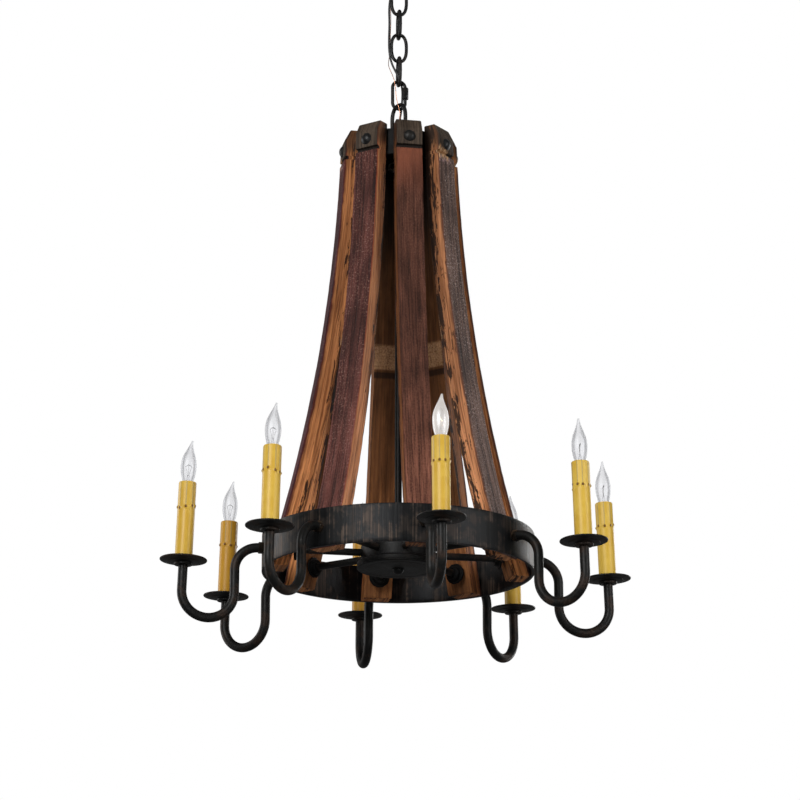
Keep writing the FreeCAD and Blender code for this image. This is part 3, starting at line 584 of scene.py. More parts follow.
def hex_nut(across, bore, height, sides=72):
    """A six-sided nut: its section is a hexagon of that width across its flats, cut by a cone
    at each end. A hexagon's radius is half that width over the cosine of the angle from the
    middle of the nearest flat."""
    flat = across / 2
    corner = flat / math.cos(math.pi / 6)
    cut = (corner - flat) * 0.6
    heights = np.array([0, 0, cut, height / 2, height - cut, height, height, height / 2, 0])
    limits = np.array([bore, flat * 0.98, corner, corner, corner, flat * 0.98, bore, bore, bore])
    angle = round_steps(sides)
    hexed = flat / np.cos((angle + np.pi / 6) % (np.pi / 3) - np.pi / 6)
    inner = (limits == bore)[:, None]
    radius = np.where(inner, bore, np.minimum(hexed[None], limits[:, None]))
    return grid(polar(radius, angle, heights[:, None]))


# ------------------------------------------------------------------ finishes
BLACK_IRON = worn_iron("black_iron", (0.009, 0.009, 0.009), (0.020, 0.016, 0.013), 0.42, 0.3)
CROWN_IRON = worn_iron("crown_iron", (0.004, 0.004, 0.004), (0.008, 0.007, 0.006), 0.66, 0.5)
ARM_IRON = worn_iron("arm_iron", (0.009, 0.009, 0.0085), (0.034, 0.020, 0.013), 0.48, 0.3)
WORN_BRONZE = worn_iron("worn_bronze", (0.020, 0.015, 0.011), (0.16, 0.105, 0.065), 0.40, 0.6)
RING_IRON = worn_iron("ring_iron", (0.0055, 0.0060, 0.0068), (0.070, 0.050, 0.038), 0.46, 0.4,
                      streaks=(330, 3, 1), relief=0.0001)
HUB_IRON = worn_iron("hub_iron", (0.013, 0.013, 0.013), (0.018, 0.015, 0.013), 0.55, 0.3)
BOLT_IRON = worn_iron("bolt_iron", (0.010, 0.010, 0.010), (0.018, 0.016, 0.014), 0.42, 0.2,
                      relief=0.000002)
STEEL = plated_steel()
CANDLE = candle_plastic()
GLASS = lamp_glass("lamp_glass")
LIT_GLASS = lamp_glass("lamp_glass_lit", 0.22, 0.26, 0.52)
SOCKET = plain("socket_moulding", (0.03, 0.026, 0.022), 0.5)
BRASS = plain("lamp_base_brass", (0.55, 0.40, 0.16), 0.35, 1.0)
LEAD = plain("lamp_leads", (0.30, 0.29, 0.28), 0.4, 1.0)
FILAMENT = plain("lamp_filament", (0.22, 0.21, 0.20), 0.5, 0.6)
LIT_FILAMENT = plain("lamp_filament_lit", (1.0, 0.72, 0.40), 0.5, 0.0, glow=3.0)
SHEATH = plain("cord_sheath", (0.020, 0.020, 0.021), 0.55)
COPPER = plain("bare_copper", (0.80, 0.36, 0.20), 0.30, 1.0)

# dark and light colours of the oak
HONEY = ((0.22, 0.074, 0.024), (0.60, 0.245, 0.090))
PALE_HONEY = ((0.26, 0.095, 0.036), (0.62, 0.270, 0.120))
BROWN_SIDE = ((0.11, 0.040, 0.017), (0.34, 0.135, 0.054))
TOASTED = ((0.060, 0.023, 0.009), (0.200, 0.082, 0.030))
GREY_HEAD = ((0.020, 0.014, 0.010), (0.085, 0.060, 0.042))
TORN_OAK = ((0.20, 0.085, 0.03), (0.62, 0.38, 0.20))
RED_STAIN = (0.23, 0.070, 0.036)
# for each stave: outer face, sides, inside, edge stain, (fleck colour, flecks, red head),
# charring, coarseness of the grain, reach of the torn wood
WOODS = {
    1: (((0.028, 0.010, 0.0062), (0.126, 0.048, 0.030)), BROWN_SIDE, TOASTED,
        (0.060, 0.018, 0.013), ((0.16, 0.08, 0.06), 0.35, 0.85), 0.45, 0.9, 0.0),
    2: (((0.024, 0.014, 0.012), (0.185, 0.112, 0.088)), PALE_HONEY, TOASTED, (0.085, 0.032, 0.024),
        ((0.42, 0.31, 0.27), 1.5, 0.0), 1.0, 1.6, 0.62),
    3: (((0.030, 0.016, 0.014), (0.12, 0.07, 0.055)), HONEY, TOASTED, (0.10, 0.036, 0.024),
        ((0.22, 0.14, 0.11), 0.5, 0.0), 0.8, 1.2, 0.45),
    4: (((0.030, 0.015, 0.013), (0.11, 0.055, 0.042)), BROWN_SIDE, TOASTED, (0.07, 0.022, 0.017),
        ((0.20, 0.11, 0.08), 0.4, 0.2), 0.5, 1.0, 0.0),
    5: (((0.032, 0.014, 0.012), (0.12, 0.052, 0.042)), HONEY, TOASTED, (0.08, 0.022, 0.017),
        ((0.22, 0.12, 0.09), 0.5, 0.1), 0.4, 1.0, 0.3),
    6: (((0.030, 0.015, 0.013), (0.11, 0.058, 0.045)), HONEY, TOASTED, (0.08, 0.022, 0.017),
        ((0.22, 0.12, 0.09), 0.5, 0.3), 0.6, 1.0, 0.0),
    7: (((0.026, 0.008, 0.011), (0.095, 0.033, 0.036)), HONEY, TOASTED, (0.060, 0.008, 0.012),
        ((0.22, 0.11, 0.09), 0.5, 0.2), 0.45, 1.0, 0.25),
    8: (((0.026, 0.0085, 0.0066), (0.135, 0.046, 0.036)), PALE_HONEY, TOASTED, (0.30, 0.060, 0.026),
        ((0.36, 0.20, 0.16), 0.8, 0.0), 0.25, 1.2, 0.0),
}


# ------------------------------------------------------------------ cords
SUPPLY_CORD_DIAMETER = 3.2
SUPPLY_CORD_ROUTE = [
    (1.2, 0, -38), (0.2, 0.9, -51), (-5.4, 4.9, -63.5), (-11.6, 7.3, -79), (-14.0, 7.1, -100),
    (-13.2, 6.3, -124), (-14.1, 6.4, -149), (-13.6, 6.9, -171), (-9.9, 6.4, -189),
    (-3.6, 5.2, -202.5), (2.9, 5.0, -214.5), (6.7, 7.2, -228.5), (6.9, 8.4, -244.5),
    (5.6, 7.9, -260), (3.0, 4.9, -275), (0.5, 1.6, -288.5), (0.2, 1.2, -302),
]
GROUND_WIRE_DIAMETER = 1.0
GROUND_WIRE_ROUTE = [
    (-2.6, 0, -38), (-3.4, 1.0, -50), (-7.8, 7.9, -63), (-10.6, 11.0, -79), (-10.9, 10.4, -98),
    (-10.3, 9.7, -120), (-11.3, 9.9, -142), (-10.8, 10.5, -163), (-13.4, 9.0, -180),
    (-15.4, 5.0, -193), (-12.4, -1.2, -205), (-8.6, -4.6, -217), (-5.9, -5.3, -231),
    (-5.4, -5.4, -246), (-3.0, -6.6, -258), (0.4, -6.4, -269), (1.2, -3.9, -280),
    (-0.2, -2.4, -290), (0.1, -2.2, -302),
]
# each stretch of cord spans one contact of the chain: from, to and contact are heights, then the
# bodies above and below it
STRETCHES = [
    (-38, -93.6, -75.0, "ceiling_mount", "link_1"),
    (-93.6, -131, -112.2, "link_1", "link_2"),
    (-131, -168.8, -149.9, "link_2", "link_3"),
    (-168.8, -206.5, -187.6, "link_3", "link_4"),
    (-206.5, -244.5, -225.3, "link_4", "quick_link"),
    (-244.5, -302, -263.6, "quick_link", "fixture"),
]


def smooth_route(route):
    """Points along the route's NURBS spline, in mm."""
    curve = bpy.data.curves.new("route", "CURVE")
    curve.dimensions, curve.resolution_u = "3D", 10
    spline = curve.splines.new("NURBS")
    spline.points.add(len(route) - 1)
    weighted = np.hstack([np.array(route) * MM, np.ones((len(route), 1))])
    spline.points.foreach_set("co", weighted.ravel())
    spline.order_u = 3
    spline.use_endpoint_u = True
    holder = bpy.data.objects.new("route", curve)
    bpy.context.collection.objects.link(holder)
    mesh = bpy.data.meshes.new_from_object(holder)
    points = np.empty(len(mesh.vertices) * 3)
    mesh.vertices.foreach_get("co", points)
    bpy.data.objects.remove(holder)
    bpy.data.curves.remove(curve)
    bpy.data.meshes.remove(mesh)
    return points.reshape(-1, 3) / MM


def make_cord(name, route, diameter, material):
    """One tube for each stretch, from the last point of the one above it, so that the cord
    looks whole."""
    line = smooth_route(route)
    if line[0, 2] < line[-1, 2]:
        line = line[::-1]
    for number, (top, low, contact, upper, lower) in enumerate(STRETCHES, 1):
        inside = np.where((line[:, 2] <= top + 1e-6) & (line[:, 2] >= low - 1e-6))[0]
        first = max(inside[0] - (number > 1), 0)
        rows = slice(first, inside[-1] + 1)
        shell = tube(line[rows], diameter / 2, (0, 1, 0), 16)
        part = piece(f"{name}_{number}", shell, material, None, (name,), 60)
        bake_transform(part)


# ------------------------------------------------------------------ ceiling and chain
LINK_WIDTH, LINK_LENGTH, LINK_WIRE = 27.7, 48, 5
LINK_FEET = (-112.2, -149.9, -187.6, -225.3)
QUICK_FOOT, QUICK_RADIUS, QUICK_STRAIGHT, QUICK_WIRE = -263.6, 9.5, 24.6, 5
QUICK_SLEEVE, SLEEVE_ACROSS, SLEEVE_BORE = 18, 8.7, 2.56
CANOPY_RADIUS, CANOPY_DEPTH, CANOPY_WALL, CANOPY_HOLE = 65, 30, 1.6, 5.3
LOOP_WIDTH, LOOP_WIRE = 36, 6
CANOPY_LOOP_FOOT, CANOPY_LOOP_LENGTH = -75, 44
FIXTURE_LOOP_FOOT, FIXTURE_LOOP_LENGTH = -305.8, 54
NIPPLE_BORE = 3.5


def oval(width, length, wire, low, turned=0.0, steps=112, squareness=2.5):
    """A link's wire line: a rounded oval between an ellipse and a straight-sided ring, with
    x = a cos^(2/n) and z = b sin^(2/n) in equal steps, the lowest point of its line at low."""
    angle = np.linspace(0, 2 * np.pi, steps, endpoint=False) + np.pi / 2
    power = 2 / squareness
    c, s = np.cos(angle), np.sin(angle)
    x = (width - wire) / 2 * np.sign(c) * np.abs(c) ** power
    z = (length - wire) / 2 * np.sign(s) * np.abs(s) ** power
    drawn = np.stack([x, 0 * x, z + low + (length - wire) / 2], -1)
    closed = np.vstack([drawn, drawn[:1]])
    run = length_along(closed)
    where = np.linspace(0, run[-1], steps, endpoint=False)
    line = np.stack([np.interp(where, run, closed[:, axis]) for axis in range(3)], -1)
    matrix = turn("z", turned)[:3, :3]
    return line @ matrix.T, matrix @ np.array([0.0, 1.0, 0.0])


def link(width, length, wire, low, turned=0.0, seam=True):
    """A bent link of slightly uneven wire, which swells by a bell curve at the weld on one leg."""
    line, normal = oval(width, length, wire, low, turned)
    spot = np.linspace(0, 1, len(line), endpoint=False)
    weld = np.exp(-((spot - 0.27) / 0.012) ** 2) * seam
    swell = 1 + 0.09 * weld + 0.012 * np.sin(spot * 40)
    return tube(line, wire / 2 * swell, normal, 20, closed=True)


def make_chain():
    """Four links, each turned a quarter from the one above."""
    for number, low in enumerate(LINK_FEET, 1):
        quarter = 90 if number % 2 == 0 else 0
        shell = link(LINK_WIDTH, LINK_LENGTH, LINK_WIRE, low, quarter)
        name = f"chain_link_{number}"
        piece(f"chain_{number}", shell, BLACK_IRON, f"link_{number}", (name,))


def make_quick_link():
    """A straight-legged link with a gap near the top of one leg, and the hex sleeve over it."""
    radius = QUICK_RADIUS
    foot = QUICK_FOOT + radius
    head = foot + QUICK_STRAIGHT
    gap_top, gap_low = head - 1.4, head - 6.4
    path = np.vstack([
        upright(radius, np.linspace(head, gap_top, 3)[:0:-1]),
        arc((0, head), radius, 0, 180, 34),
        upright(-radius, np.linspace(head, foot, 26)[1:-1]),
        arc((0, foot), radius, 180, 360, 34),
        upright(radius, np.linspace(foot, gap_low, 26)[1:]),
    ])
    wire = tube(path, QUICK_WIRE / 2, (0, 1, 0), 20)
    piece("quick_link_body", wire, BLACK_IRON, "quick_link", ("quick_link",))
    seat = shift(radius, 0, head - QUICK_SLEEVE) @ turn("z", 30)
    nut = hex_nut(SLEEVE_ACROSS, SLEEVE_BORE, QUICK_SLEEVE).moved(seat)
    piece("quick_link_sleeve", nut, BLACK_IRON, "quick_link_nut", ("quick_link_nut",))


def collar(radius, height, low):
    """A turned collar round the nipple, eased at the foot and stepped near the top."""
    bore, neck = NIPPLE_BORE, radius - 1.6
    profile = rounded([
        (bore, 0), (radius - 2, 0), (radius, 2), (radius, height * 0.62), (neck, height * 0.70),
        (neck, height - 1.2), (radius - 3, height), (bore, height), (bore, height / 2), (bore, 0),
    ], 0.8)
    return ringed(profile + (0, low), 72)


def make_ceiling():
    """The spun canopy, a slice of a sphere with its rim rolled, and the loop on the nipple."""
    sphere = (CANOPY_RADIUS**2 + CANOPY_DEPTH**2) / (2 * CANOPY_DEPTH)
    first, last = (math.asin(radius / sphere) for radius in (CANOPY_HOLE, CANOPY_RADIUS))
    angle = np.linspace(first, last - 0.02, 40)
    middle = np.array([0, sphere - CANOPY_DEPTH])
    spoke = np.stack([np.sin(angle), -np.cos(angle)], -1)
    outer, inner = middle + sphere * spoke, middle + (sphere - CANOPY_WALL) * spoke
    rim = np.array([(64.6, -1.6), (65.0, -0.9), (64.7, -0.15), (64.0, 0.0), (63.1, -0.2)])
    dome = lathe(np.vstack([outer, rim, inner[::-1], outer[:1]]), 128)
    piece("canopy_dome", dome, BLACK_IRON, "ceiling_mount", ("ceiling_canopy",))
    ring = link(LOOP_WIDTH, CANOPY_LOOP_LENGTH, LOOP_WIRE, CANOPY_LOOP_FOOT, 90, seam=False)
    loop = joined([ring, collar(13, 12, -42)])
    piece("canopy_hanger", loop, BLACK_IRON, "ceiling_mount", ("canopy_loop",))


def make_fixture_loop():
    """The loop that the fixture hangs by, on the collar above the staves."""
    ring = link(LOOP_WIDTH, FIXTURE_LOOP_LENGTH, LOOP_WIRE, FIXTURE_LOOP_FOOT, -60, seam=False)
    loop = joined([ring, collar(11, 14, FOOT + 658)])
    piece("eye_loop", loop, BLACK_IRON, "fixture", ("fixture_loop",))


# ------------------------------------------------------------------ staves
RING_HEIGHT, RING_OUTER, RING_INNER = 54, 194.5, 189.7
BILGE = 2550.0  # radius of the staves' curve
STAVE_HEIGHT, BOLT_HEIGHT, THICK, HALF_WIDTH = 662.0, 634.0, 26.0, 21
GROOVE_LOW, GROOVE_HIGH, GROOVE_DEPTH = 615.4, 621.6, 4.6
CHIME_LOW, CHIME_DEPTH = 646, 8
# the outer face touches the ring at the foot and the bolts' heads near the top
FOOT_FACE = math.sqrt(RING_INNER**2 - HALF_WIDTH**2) - 0.2
BOLT_FACE = 84.5
_chord = math.hypot(BOLT_HEIGHT, FOOT_FACE - BOLT_FACE)
_reach = math.sqrt(BILGE**2 - _chord**2 / 4)
BILGE_X = (FOOT_FACE + BOLT_FACE) / 2 + _reach * BOLT_HEIGHT / _chord
BILGE_Z = BOLT_HEIGHT / 2 + _reach * (FOOT_FACE - BOLT_FACE) / _chord
# breaks in the outer face: across, height, half-sizes and depth in mm
BREAKS = {
    1: ((-14, 622, 4, 2.0, 0.9),),
    2: ((-9, 621.5, 7, 4.0, 3.2), (4, 622.0, 8, 2.4, 1.6), (-17, 560, 3, 26, 0.9),
        (16, 300, 3, 40, 0.8)),
    3: ((6, 622, 9, 2.6, 1.4), (15, 420, 3, 30, 0.8)),
    5: ((8, 621, 7, 2.2, 1.4), (-15, 250, 3, 30, 0.7)),
    7: ((12, 621, 6, 2.0, 1.0), (-15, 340, 3, 44, 0.8)),
    8: ((17, 470, 2.5, 30, 0.6), (-16, 200, 3, 36, 0.8)),
}


def face(height, extra=0.0):
    """Distance of a stave's outer face from the axis: an arc about (BILGE_X, BILGE_Z)."""
    return BILGE_X - np.sqrt((BILGE + extra) ** 2 - (height - BILGE_Z) ** 2)


def section():
    """One turn round a stave's section: how far along depth and width each column sits, from
    -1 to 1, and the direction in which its rounded corner carries it out."""
    span, rise = np.linspace(-1, 1, 17), np.linspace(-1, 1, 13)
    bow = np.radians(np.linspace(0, 90, 5)[1:-1])
    columns = [(1, w, 1, 0) for w in span]
    columns += [(1, 1, math.cos(a), math.sin(a)) for a in bow]
    columns += [(d, 1, 0, 1) for d in -rise]
    columns += [(-1, 1, -math.sin(a), math.cos(a)) for a in bow]
    columns += [(-1, w, -1, 0) for w in -span]
    columns += [(-1, -1, -math.cos(a), -math.sin(a)) for a in bow]
    columns += [(d, -1, 0, -1) for d in rise]
    columns += [(1, -1, math.sin(a), -math.cos(a)) for a in bow]
    return np.array(columns, float).T


def stave(number):
    """A rounded rectangle carried up the stave. Along its height the outer face steps in at the
    croze groove and slopes in at the chime, the width tapers and the corners wear unevenly."""
    rows = np.concatenate([
        np.linspace(0, 1.2, 3), np.linspace(4, 610, 150), np.linspace(613, 615.6, 5),
        np.linspace(616.0, 621.0, 9), np.linspace(621.5, 645, 14), np.linspace(646, 660.6, 14),
        [STAVE_HEIGHT],
    ])
    deep, wide, out_x, out_y = section()
    height = rows[:, None]
    into = np.clip((rows - GROOVE_LOW) / 0.8, 0, 1) * np.clip((GROOVE_HIGH - rows) / 0.9, 0, 1)
    slope = np.clip(rows - CHIME_LOW, 0, None) / (STAVE_HEIGHT - CHIME_LOW)
    outer = face(rows) - GROOVE_DEPTH * into - CHIME_DEPTH * slope
    inner = face(rows, THICK)
    middle, half = (outer + inner) / 2, (outer - inner) / 2
    taper = HALF_WIDTH - 2 * rows / STAVE_HEIGHT
    seed = number * 7
    wear = 0.7 + np.clip(wander(seed, rows, 9, 1.0), 0, 1) ** 2 * 1.3
    ends = np.clip(np.minimum(rows, STAVE_HEIGHT - rows) / 1.2, 0, 1)
    shrink = (1 - ends) * 0.7
    edge_left = wander(seed + 1, rows, 34, 0.35) + wander(seed + 2, rows, 6, 0.12)
    edge_right = wander(seed + 3, rows, 34, 0.35) + wander(seed + 4, rows, 6, 0.12)
    edge = np.where(wide[None] > 0, edge_right[:, None], edge_left[:, None]) * wide
    x = middle[:, None] + deep * (half - wear - shrink)[:, None] + out_x * wear[:, None]
    y = wide * (taper - wear - shrink)[:, None] + out_y * wear[:, None]
    y = y - np.sign(wide) * np.abs(edge)
    # shallow tool marks and raised grain on the outer face, deeper breaks where listed
    outside = np.clip(deep, 0, 1) ** 6
    ripple = wander(seed + 5, rows, 14, 0.12)[:, None] + 0.10 * np.sin(wide * 9 + number)[None]
    x = x - outside * np.abs(ripple)
    for across, up, reach_y, reach_z, dent in BREAKS.get(number, ()):
        hollow = np.exp(-((y - across) / reach_y) ** 2 - ((height - up) / reach_z) ** 2)
        x = x - outside * dent * hollow
    points = np.stack(np.broadcast_arrays(x, y, height + FOOT), -1)

    bands = ((1 - deep) / 2, height / STAVE_HEIGHT, (1 + wide) / 2)
    place = np.stack(np.broadcast_arrays(*bands), -1)
    around = np.stack([deep * THICK / 2, wide * 20], -1)
    u, v = np.meshgrid(length_along(np.vstack([around, around[:1]])), rows * MM)
    return grid(points, maps=np.stack([u, v], -1), place=place, caps=True)


def make_staves():
    """Eight staves, each with its own wood."""
    for number in range(1, PLACES + 1):
        wood = stave_wood(f"stave_wood_{number}", number, *WOODS[number])
        shell = stave(number).moved(at_place(number))
        piece(f"barrel_stave_{number}", shell, wood, "fixture", (f"stave_{number}",), 50)


# ------------------------------------------------------------------ crown, hub and ring
def dark_piece(name, shell, material, node):
    """A piece of the fixture's ironwork."""
    return piece(name, shell, material, "fixture", (node,))


def make_crown():
    """Carriage bolts, each a slice of a sphere on a shank with a flat end, and the band behind
    the staves' tops."""
    head, rise, shank = 8.7, 4.6, 3.95
    sphere = (head**2 + rise**2) / (2 * rise)
    angle = np.linspace(0, math.asin(head / sphere), 14)
    dome = np.stack([sphere * np.sin(angle), rise - sphere + sphere * np.cos(angle)], -1)[::-1]
    profile = np.vstack([[(0, -42), (3.4, -42), (shank, -41.4), (shank, 0), (8.4, 0)], dome])
    seat = shift(BOLT_FACE + 0.36, 0, FOOT + BOLT_HEIGHT) @ turn("y", 90)
    dark_piece("carriage_bolts", all_round(lathe(profile, 40).moved(seat)), BOLT_IRON, "crown_bolts")
    inner, outer = 53.6, 57.6
    band = rounded([(inner, 616), (outer, 616), (outer, 656), (inner, 656), (inner, 636),
                    (inner, 616)], 0.5)
    dark_piece("crown_band", ringed(band + (0, FOOT), 96), CROWN_IRON, "crown_ring")


def make_hub():
    """The wiring box with its flared foot, the plate that closes it and the round finial."""
    body = rounded([
        (BORE, 39), (51, 39), (51, 17.5), (57, 14), (57, 8.5), (59, 8.5), (59, 14.6), (53, 17.6),
        (53, 39), (51, 41), (BORE, 41), (BORE, 40), (BORE, 39),
    ], 1.0)
    dark_piece("hub_pan", ringed(body + (0, FOOT), 128), HUB_IRON, "hub_body")
    cover = rounded([
        (BORE, 8.3), (BORE, 6), (46, 6), (47.5, 6.5), (49, 6), (57.6, 6), (59, 7), (59, 8.4),
        (40, 8.4), (BORE, 8.4),
    ], 0.7)
    dark_piece("hub_plate", ringed(cover + (0, FOOT), 128), HUB_IRON, "hub_cover")
    ball, bore = 8.4, 5.25
    angle = np.linspace(0, math.radians(84), 16)
    dome = np.stack([ball * np.sin(angle), 6.4 - ball * np.cos(angle)], -1)
    cap = np.vstack([dome, [(7.6, 5.8), (bore, 5.8), (bore, 1.9), (0, 1.9)]]) + (0, FOOT)
    piece("finial_knob", lathe(cap, 48), BOLT_IRON, "finial", ("finial",))


def make_ring():
    """The flat iron band, with eased edges and the slight waviness of a rolled strip: its
    radius falls by two sine waves of under a thousandth."""
    low, high, outer, inner, ease = FOOT, FOOT + RING_HEIGHT, RING_OUTER, RING_INNER, 0.5
    side = np.linspace(low + 1, high - 1, 12)
    profile = np.vstack([
        [(inner + ease, low), (outer - ease, low)], np.stack([np.full(12, outer), side], -1),
        [(outer - ease, high), (inner + ease, high)], np.stack([np.full(12, inner), side[::-1]], -1),
        [(inner + ease, low)],
    ])
    sides = 360
    angle = round_steps(sides)
    wave = 1 - 0.0009 * (1 + np.sin(angle * 8 + 0.4) * 0.5 + np.sin(angle * 3) * 0.5)
    dark_piece("iron_ring", lathe(profile, sides, shape=wave), RING_IRON, "lower_ring")


def make_pipe_fittings():
    """Locknuts against the staves, and the hexagon collars that the arms are seated on."""
    flange, hole, long = 15.0, 5.2, 9
    nut = rounded([(hole, 0), (9.5, 0), (10.5, 1), (10.5, 6), (14, 6), (flange, 7), (flange, 8.6),
                   (14.6, long), (hole, long), (hole, 4), (hole, 0)], 0.6)
    knurl = 1 + 0.012 * np.sign(np.sin(round_steps(96) * 12))
    stave_back = face(PIPE - FOOT + flange, THICK) - 0.2
    locknut = lathe(nut, 96, shape=knurl).moved(shift(stave_back - long, 0, PIPE) @ turn("y", 90))
    dark_piece("stave_nuts", all_round(locknut), CROWN_IRON, "stave_locknuts")
    seat = hex_nut(15, BORE, 6.9).moved(shift(RING_OUTER + 0.05, 0, PIPE) @ turn("y", 90))
    dark_piece("arm_seats", all_round(seat), WORN_BRONZE, "arm_collars")


# ------------------------------------------------------------------ arms and candles
# an arm: where its elbow starts, the elbow's and the bend's radius, the straight lengths
# between and above them, its tube's radius and the riser's lean in degrees
COLLAR_FACE, ELBOW, BEND, LEG, RISER, ARM_TUBE, LEAN = 201.5, 33.0, 37.2, 33.6, 35.0, 6.75, 2.0
BEND_X = COLLAR_FACE + ELBOW + BEND
BEND_Z = PIPE - ELBOW - LEG
# a candle's sleeve: its length, radius, bore and height above the riser's end
SLEEVE, SLEEVE_RADIUS, CANDLE_BORE, SLEEVE_FOOT = 114.3, 12.45, 10.8, 6
CANDLE_SHADE = (0.10, 0.0, 0.05, 0.25, 0.8, 0.75, 0.15, 0.10)  # painted shade: how far each is darkened and made oranger
LAMP_TURN = (134, -56, -90, 30, 200, 214, 175, 128)  # degrees, which way each lamp's tip bends


def candle_place(number, height=0.0):
    """From a piece on the Z axis to a riser: its foot at that height above the bend, leaning in."""
    return at_place(number) @ shift(BEND_X, 0, BEND_Z) @ turn("y", -LEAN) @ shift(BEND, 0, height)


def on_risers(shells, height):
    """Eight shells on the Z axis as one, each on its own riser."""
    return joined([shell.moved(candle_place(number, height))
                   for number, shell in enumerate(shells, 1)])


def arm():
    """Tube along an elbow, a short leg, a U bend and a riser that leans in."""
    lean = math.radians(LEAN)
    start = np.array([BEND_X + BEND * math.cos(lean), 0, BEND_Z + BEND * math.sin(lean)])
    along = np.array([-math.sin(lean), 0, math.cos(lean)])
    riser = start + along * np.linspace(0, RISER - 0.1, 8)[1:, None]
    path = np.vstack([
        arc((COLLAR_FACE, PIPE - ELBOW), ELBOW, 90, 0, 22),
        upright(COLLAR_FACE + ELBOW, np.linspace(PIPE - ELBOW, BEND_Z, 6)[1:-1]),
        arc((BEND_X, BEND_Z), BEND, 180, 360 + LEAN, 44), riser,
    ])
    return tube(path, ARM_TUBE, (0, 1, 0), 28)


def make_arms():
    """The same arm at each place."""
    one = arm()
    for number in range(1, PLACES + 1):
        piece(f"gooseneck_{number}", one.moved(at_place(number)), ARM_IRON, "fixture",
              (f"arm_{number}",), 60)


def make_pans():
    """Turned drip pans with a foot boss, a stepped floor and a rolled rim."""
    profile = rounded([
        (BORE, 6), (BORE, 0), (12.4, 0), (13, 0.8), (13, 3.2), (14.5, 3.6), (22, 4.4), (23, 5.4),
        (30.9, 6.7), (32.7, 6.7), (33.5, 7.5), (33.5, 8.7), (32.7, 9.5), (30.1, 9.1), (22.5, 6.9),
        (15, 6), (BORE, 6),
    ], 0.9)
    pans = [ringed(profile, 96)] * PLACES
    dark_piece("candle_pans", on_risers(pans, RISER), ARM_IRON, "drip_pans")


def candle(number):
    """A sleeve whose wall swells along runs of wax. Each run is a ridge from the lip down to a
    bead; both are bell curves in the distance across the run, and the bead's also in height."""
    dice = np.random.RandomState(40 + number)
    sides, length, radius, bore, runs = 120, SLEEVE, SLEEVE_RADIUS, CANDLE_BORE, 9
    outer = np.concatenate([[0, 0.5], np.linspace(1.5, 62, 20), np.linspace(63, length - 1.4, 70),
                            [length - 0.4]])
    angle = round_steps(sides)
    around, up = np.meshgrid(angle, outer)
    swell, bead, drip = np.zeros((3, *up.shape))
    for run in range(runs):
        where = (run + dice.uniform(-0.15, 0.15)) / runs * 2 * np.pi + number
        end = length - dice.uniform(33, 39)
        wide = dice.uniform(0.9, 1.3)
        across = ((around - where + np.pi) % (2 * np.pi) - np.pi) * radius
        body = np.exp(-(across / wide) ** 2) * np.clip((up - end) / 3, 0, 1)
        tip = np.exp(-(across / 1.9) ** 2 - ((up - end) / 2.2) ** 2)
        swell = np.maximum(swell, np.maximum(body * 0.4, tip * 1.7))
        drip = np.maximum(drip, body)
        bead = np.maximum(bead, tip)
    lip = np.clip((up - length + 2.5) / 2, 0, 1)
    swell = np.maximum(swell, lip * 0.25)
    ease = np.where(up < 0.5, 0.4, 0) + np.where(up > length - 1, 0.5, 0)
    # over the lip and down the bore to the foot
    back = np.array([(radius - 0.6, length), (bore, length - 0.4), (bore, 60), (bore, 0),
                     (radius - 0.4, 0)])
    back_radius, back_up = (np.repeat(row[:, None], sides, 1) for row in back.T)
    blank = np.zeros_like(back_up)
    wall_up = np.vstack([up, back_up])
    points = polar(np.vstack([radius + swell - ease, back_radius]), angle, wall_up)
    # painted shade: each sleeve's own darkening, heaviest at the back
    painted_shade = np.full_like(wall_up, CANDLE_SHADE[number - 1])
    place = np.stack([np.vstack([bead, blank]), np.vstack([drip, blank]), painted_shade], -1)
    return grid(points, place=place)


def make_candles():
    """Eight sleeves, each with its own runs of wax."""
    sleeves = [candle(number) for number in range(1, PLACES + 1)]
    piece("wax_sleeves", on_risers(sleeves, RISER + SLEEVE_FOOT), CANDLE, "fixture",
          ("candle_covers",), 60)


def flame_bulb():
    """Glass of revolution about a line that bends over near the tip by the square of the height,
    with an inner wall 0.7 in. Its radius is a smooth cubic through the listed ones: the neck,
    the belly and the drawn-out tip."""
    heights, radii = np.array([
        (0, 6.45), (2.5, 6.75), (6, 7.6), (9, 8.5), (12.7, 9.45), (17, 10.35), (21, 10.9),
        (25, 11.2), (28.1, 11.3), (32, 11.15), (37, 10.5), (42.9, 9.05), (48, 7.2), (53.6, 5.0),
        (58.5, 3.2), (63, 2.05), (65.5, 1.5), (66.7, 1.0), (67, 0.0),
    ]).T
    slopes = np.gradient(radii, heights)

    def curve(at):
        low = np.clip(np.searchsorted(heights, at) - 1, 0, len(heights) - 2)
        step = heights[low + 1] - heights[low]
        t = (at - heights[low]) / step
        return (radii[low] * (1 + 2 * t) * (1 - t) ** 2 + radii[low + 1] * t * t * (3 - 2 * t)
                + slopes[low] * step * t * (1 - t) ** 2 - slopes[low + 1] * step * t * t * (1 - t))

    outer_at = np.concatenate([np.linspace(0, 63, 50), np.linspace(63.7, 66.3, 6), [66.75, 67]])
    inner_at = outer_at[:-6]
    outer = np.clip(curve(outer_at), 0, None)
    inner = np.clip(curve(inner_at) - 0.7, 0.15, None)
    radius = np.concatenate([[inner[0]], outer, inner[::-1]])
    height = np.concatenate([[0], outer_at, np.clip(inner_at[::-1] - 0.3, 0, None)])
    shell = lathe(np.stack([radius, height], -1), 48)
    shell.points[:, 0] += np.clip((shell.points[:, 2] - 38) / 29, 0, 1) ** 2 * 3.8
    return shell


